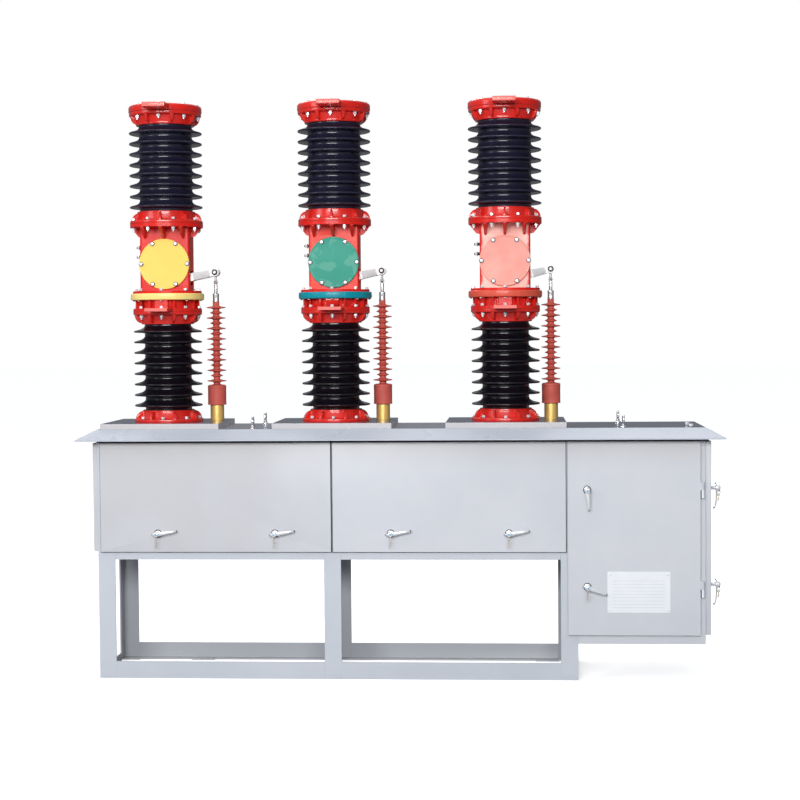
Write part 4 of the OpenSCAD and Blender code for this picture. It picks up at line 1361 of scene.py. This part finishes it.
class BREAKER_OT_stage(bpy.types.Operator):
    """Lay the pale floor, hang the soft lights and aim the camera"""

    bl_idname = "breaker.stage"
    bl_label = "Stage"

    def execute(self, context):
        lay_floor()
        hang_sky(context.scene)
        for name, spot, target, size, power in (
            ("Front softbox", (-0.6, -8.5, 3.4), (0, 0, 1.2), (6.0, 2.0), 620),
            ("Left softbox", (-6.5, -4.0, 3.8), (-0.3, 0, 1.1), (2.4, 3.2), 80),
            ("Top softbox", (-0.5, 0.8, 7.0), (0, 0, 1.2), (7.0, 3.0), 110),
            ("Back softbox", (-3.0, 6.5, 7.5), (0, 0, 1.2), (4.0, 2.0), 150),
        ):
            data = bpy.data.lights.new(name, "AREA")
            data.shape, data.energy = "RECTANGLE", power
            data.size, data.size_y = size
            lamp = placed(name, data)
            lamp.location = spot
            lamp.rotation_euler = (Vector(target) - Vector(spot)).to_track_quat("-Z", "Y").to_euler()
        aim_camera(context.scene)
        context.scene.view_settings.view_transform = "Standard"
        return {"FINISHED"}


def lay_floor():
    """Pale to the camera; greyer ground in reflections and in the light it sends back."""
    bm = bmesh.new()
    bmesh.ops.create_grid(bm, x_segments=4, y_segments=4, size=60)
    floor = placed("floor", meshed(bm, "floor"))
    made = bpy.data.materials.new("Studio floor")
    made.use_nodes = True
    tree = made.node_tree
    cloud = remap(tree, noise(tree, place_of(tree), 0.8, 4.0), 0.36, 0.66, 0.0, 0.4)
    pale = wired(tree, tree.nodes["Principled BSDF"], [
        ("Base Color", blend(tree, cloud, (0.86, 0.86, 0.86), (0.84, 0.84, 0.845))), ("Roughness", 0.85),
        ("Emission Color", (1, 1, 1)), ("Emission Strength", 0.58),
    ])
    tint = blend(tree, cloud, (0.3, 0.3, 0.31), (0.26, 0.26, 0.27))
    ground = node(tree, "ShaderNodeBsdfPrincipled", [("Base Color", tint), ("Roughness", 0.9)])
    seen_apart(tree, ground, pale, tree.nodes["Material Output"])
    floor.data.materials.append(made)


def seen_apart(tree, met, seen, out):
    """One shader for what the camera sees and another for every other ray."""
    camera = tree.nodes.new("ShaderNodeLightPath").outputs["Is Camera Ray"]
    mix = node(tree, "ShaderNodeMixShader", [(0, camera), (1, met.outputs[0]), (2, seen.outputs[0])])
    tree.links.new(mix.outputs[0], out.inputs["Surface"])


def hang_sky(scene):
    """White to the camera; in reflections a grey horizon under a bright ceiling, darker on the right."""
    world = bpy.data.worlds.new("Studio")
    scene.world = world
    world.use_nodes = True
    tree = world.node_tree
    tree.nodes.clear()
    way = tree.nodes.new("ShaderNodeTexCoord").outputs["Generated"]
    ramp = node(tree, "ShaderNodeValToRGB", [("Fac", axis_of(tree, way, "Z"))])
    stops = ramp.color_ramp.elements
    stops[0].position, stops[0].color = 0.0, (0.2, 0.21, 0.24, 1)
    stops[1].position, stops[1].color = 0.75, (0.93, 0.97, 1, 1)
    for position, tone in ((0.12, 0.3), (0.35, 0.72)):
        stops.new(position).color = (tone * 0.96, tone, tone * 1.08, 1)
    strength = remap(tree, axis_of(tree, way, "X"), 0.1, 0.9, 0.66, 0.2)
    light = node(tree, "ShaderNodeBackground", [("Color", ramp.outputs["Color"]), ("Strength", strength)])
    white = node(tree, "ShaderNodeBackground", [("Color", (1, 1, 1)), ("Strength", 1.0)])
    seen_apart(tree, light, white, tree.nodes.new("ShaderNodeOutputWorld"))


def aim_camera(scene):
    yaw, pitch, roll = (degrees(angle) for angle in (-0.065, -0.042, -0.008))
    data = bpy.data.cameras.new("Camera")
    data.lens, data.sensor_width, data.clip_end = 77.4, 36, 200
    camera = placed("Camera", data)
    turn = about("Z", -yaw) @ about("X", 90 + pitch) @ about("Z", roll)
    camera.matrix_world = at(0.463956, -7.179356, 1.436611) @ turn
    scene.camera = camera


BUILDERS = (
    BREAKER_OT_base_frame, BREAKER_OT_cabinet, BREAKER_OT_lid, BREAKER_OT_lifting_eyes, BREAKER_OT_doors,
    BREAKER_OT_nameplate, BREAKER_OT_handles, BREAKER_OT_insulators, BREAKER_OT_castings, BREAKER_OT_housings,
    BREAKER_OT_phase_marks, BREAKER_OT_cranks, BREAKER_OT_rods, BREAKER_OT_bolts, BREAKER_OT_stage,
)


class BREAKER_PT_panel(bpy.types.Panel):
    bl_label = "Vacuum Breaker"
    bl_idname = "BREAKER_PT_panel"
    bl_space_type = "VIEW_3D"
    bl_region_type = "UI"
    bl_category = "Breaker"

    def draw(self, context):
        for group in (context.scene.breaker_sizes, context.scene.breaker_colours):
            box = self.layout.box()
            for name in group.__annotations__:
                box.prop(group, name)
        for builder in BUILDERS:
            self.layout.operator(builder.bl_idname)


CLASSES = (BreakerColours, BreakerSizes, *BUILDERS, BREAKER_PT_panel)


def register():
    for cls in CLASSES:
        bpy.utils.register_class(cls)
    bpy.types.Scene.breaker_colours = bpy.props.PointerProperty(type=BreakerColours)
    bpy.types.Scene.breaker_sizes = bpy.props.PointerProperty(type=BreakerSizes)


def unregister():
    del bpy.types.Scene.breaker_sizes
    del bpy.types.Scene.breaker_colours
    for cls in reversed(CLASSES):
        bpy.utils.unregister_class(cls)


def main():
    register()
    for builder in BUILDERS:
        group, name = builder.bl_idname.split(".")
        getattr(getattr(bpy.ops, group), name)()


if __name__ == "__main__":
    main()
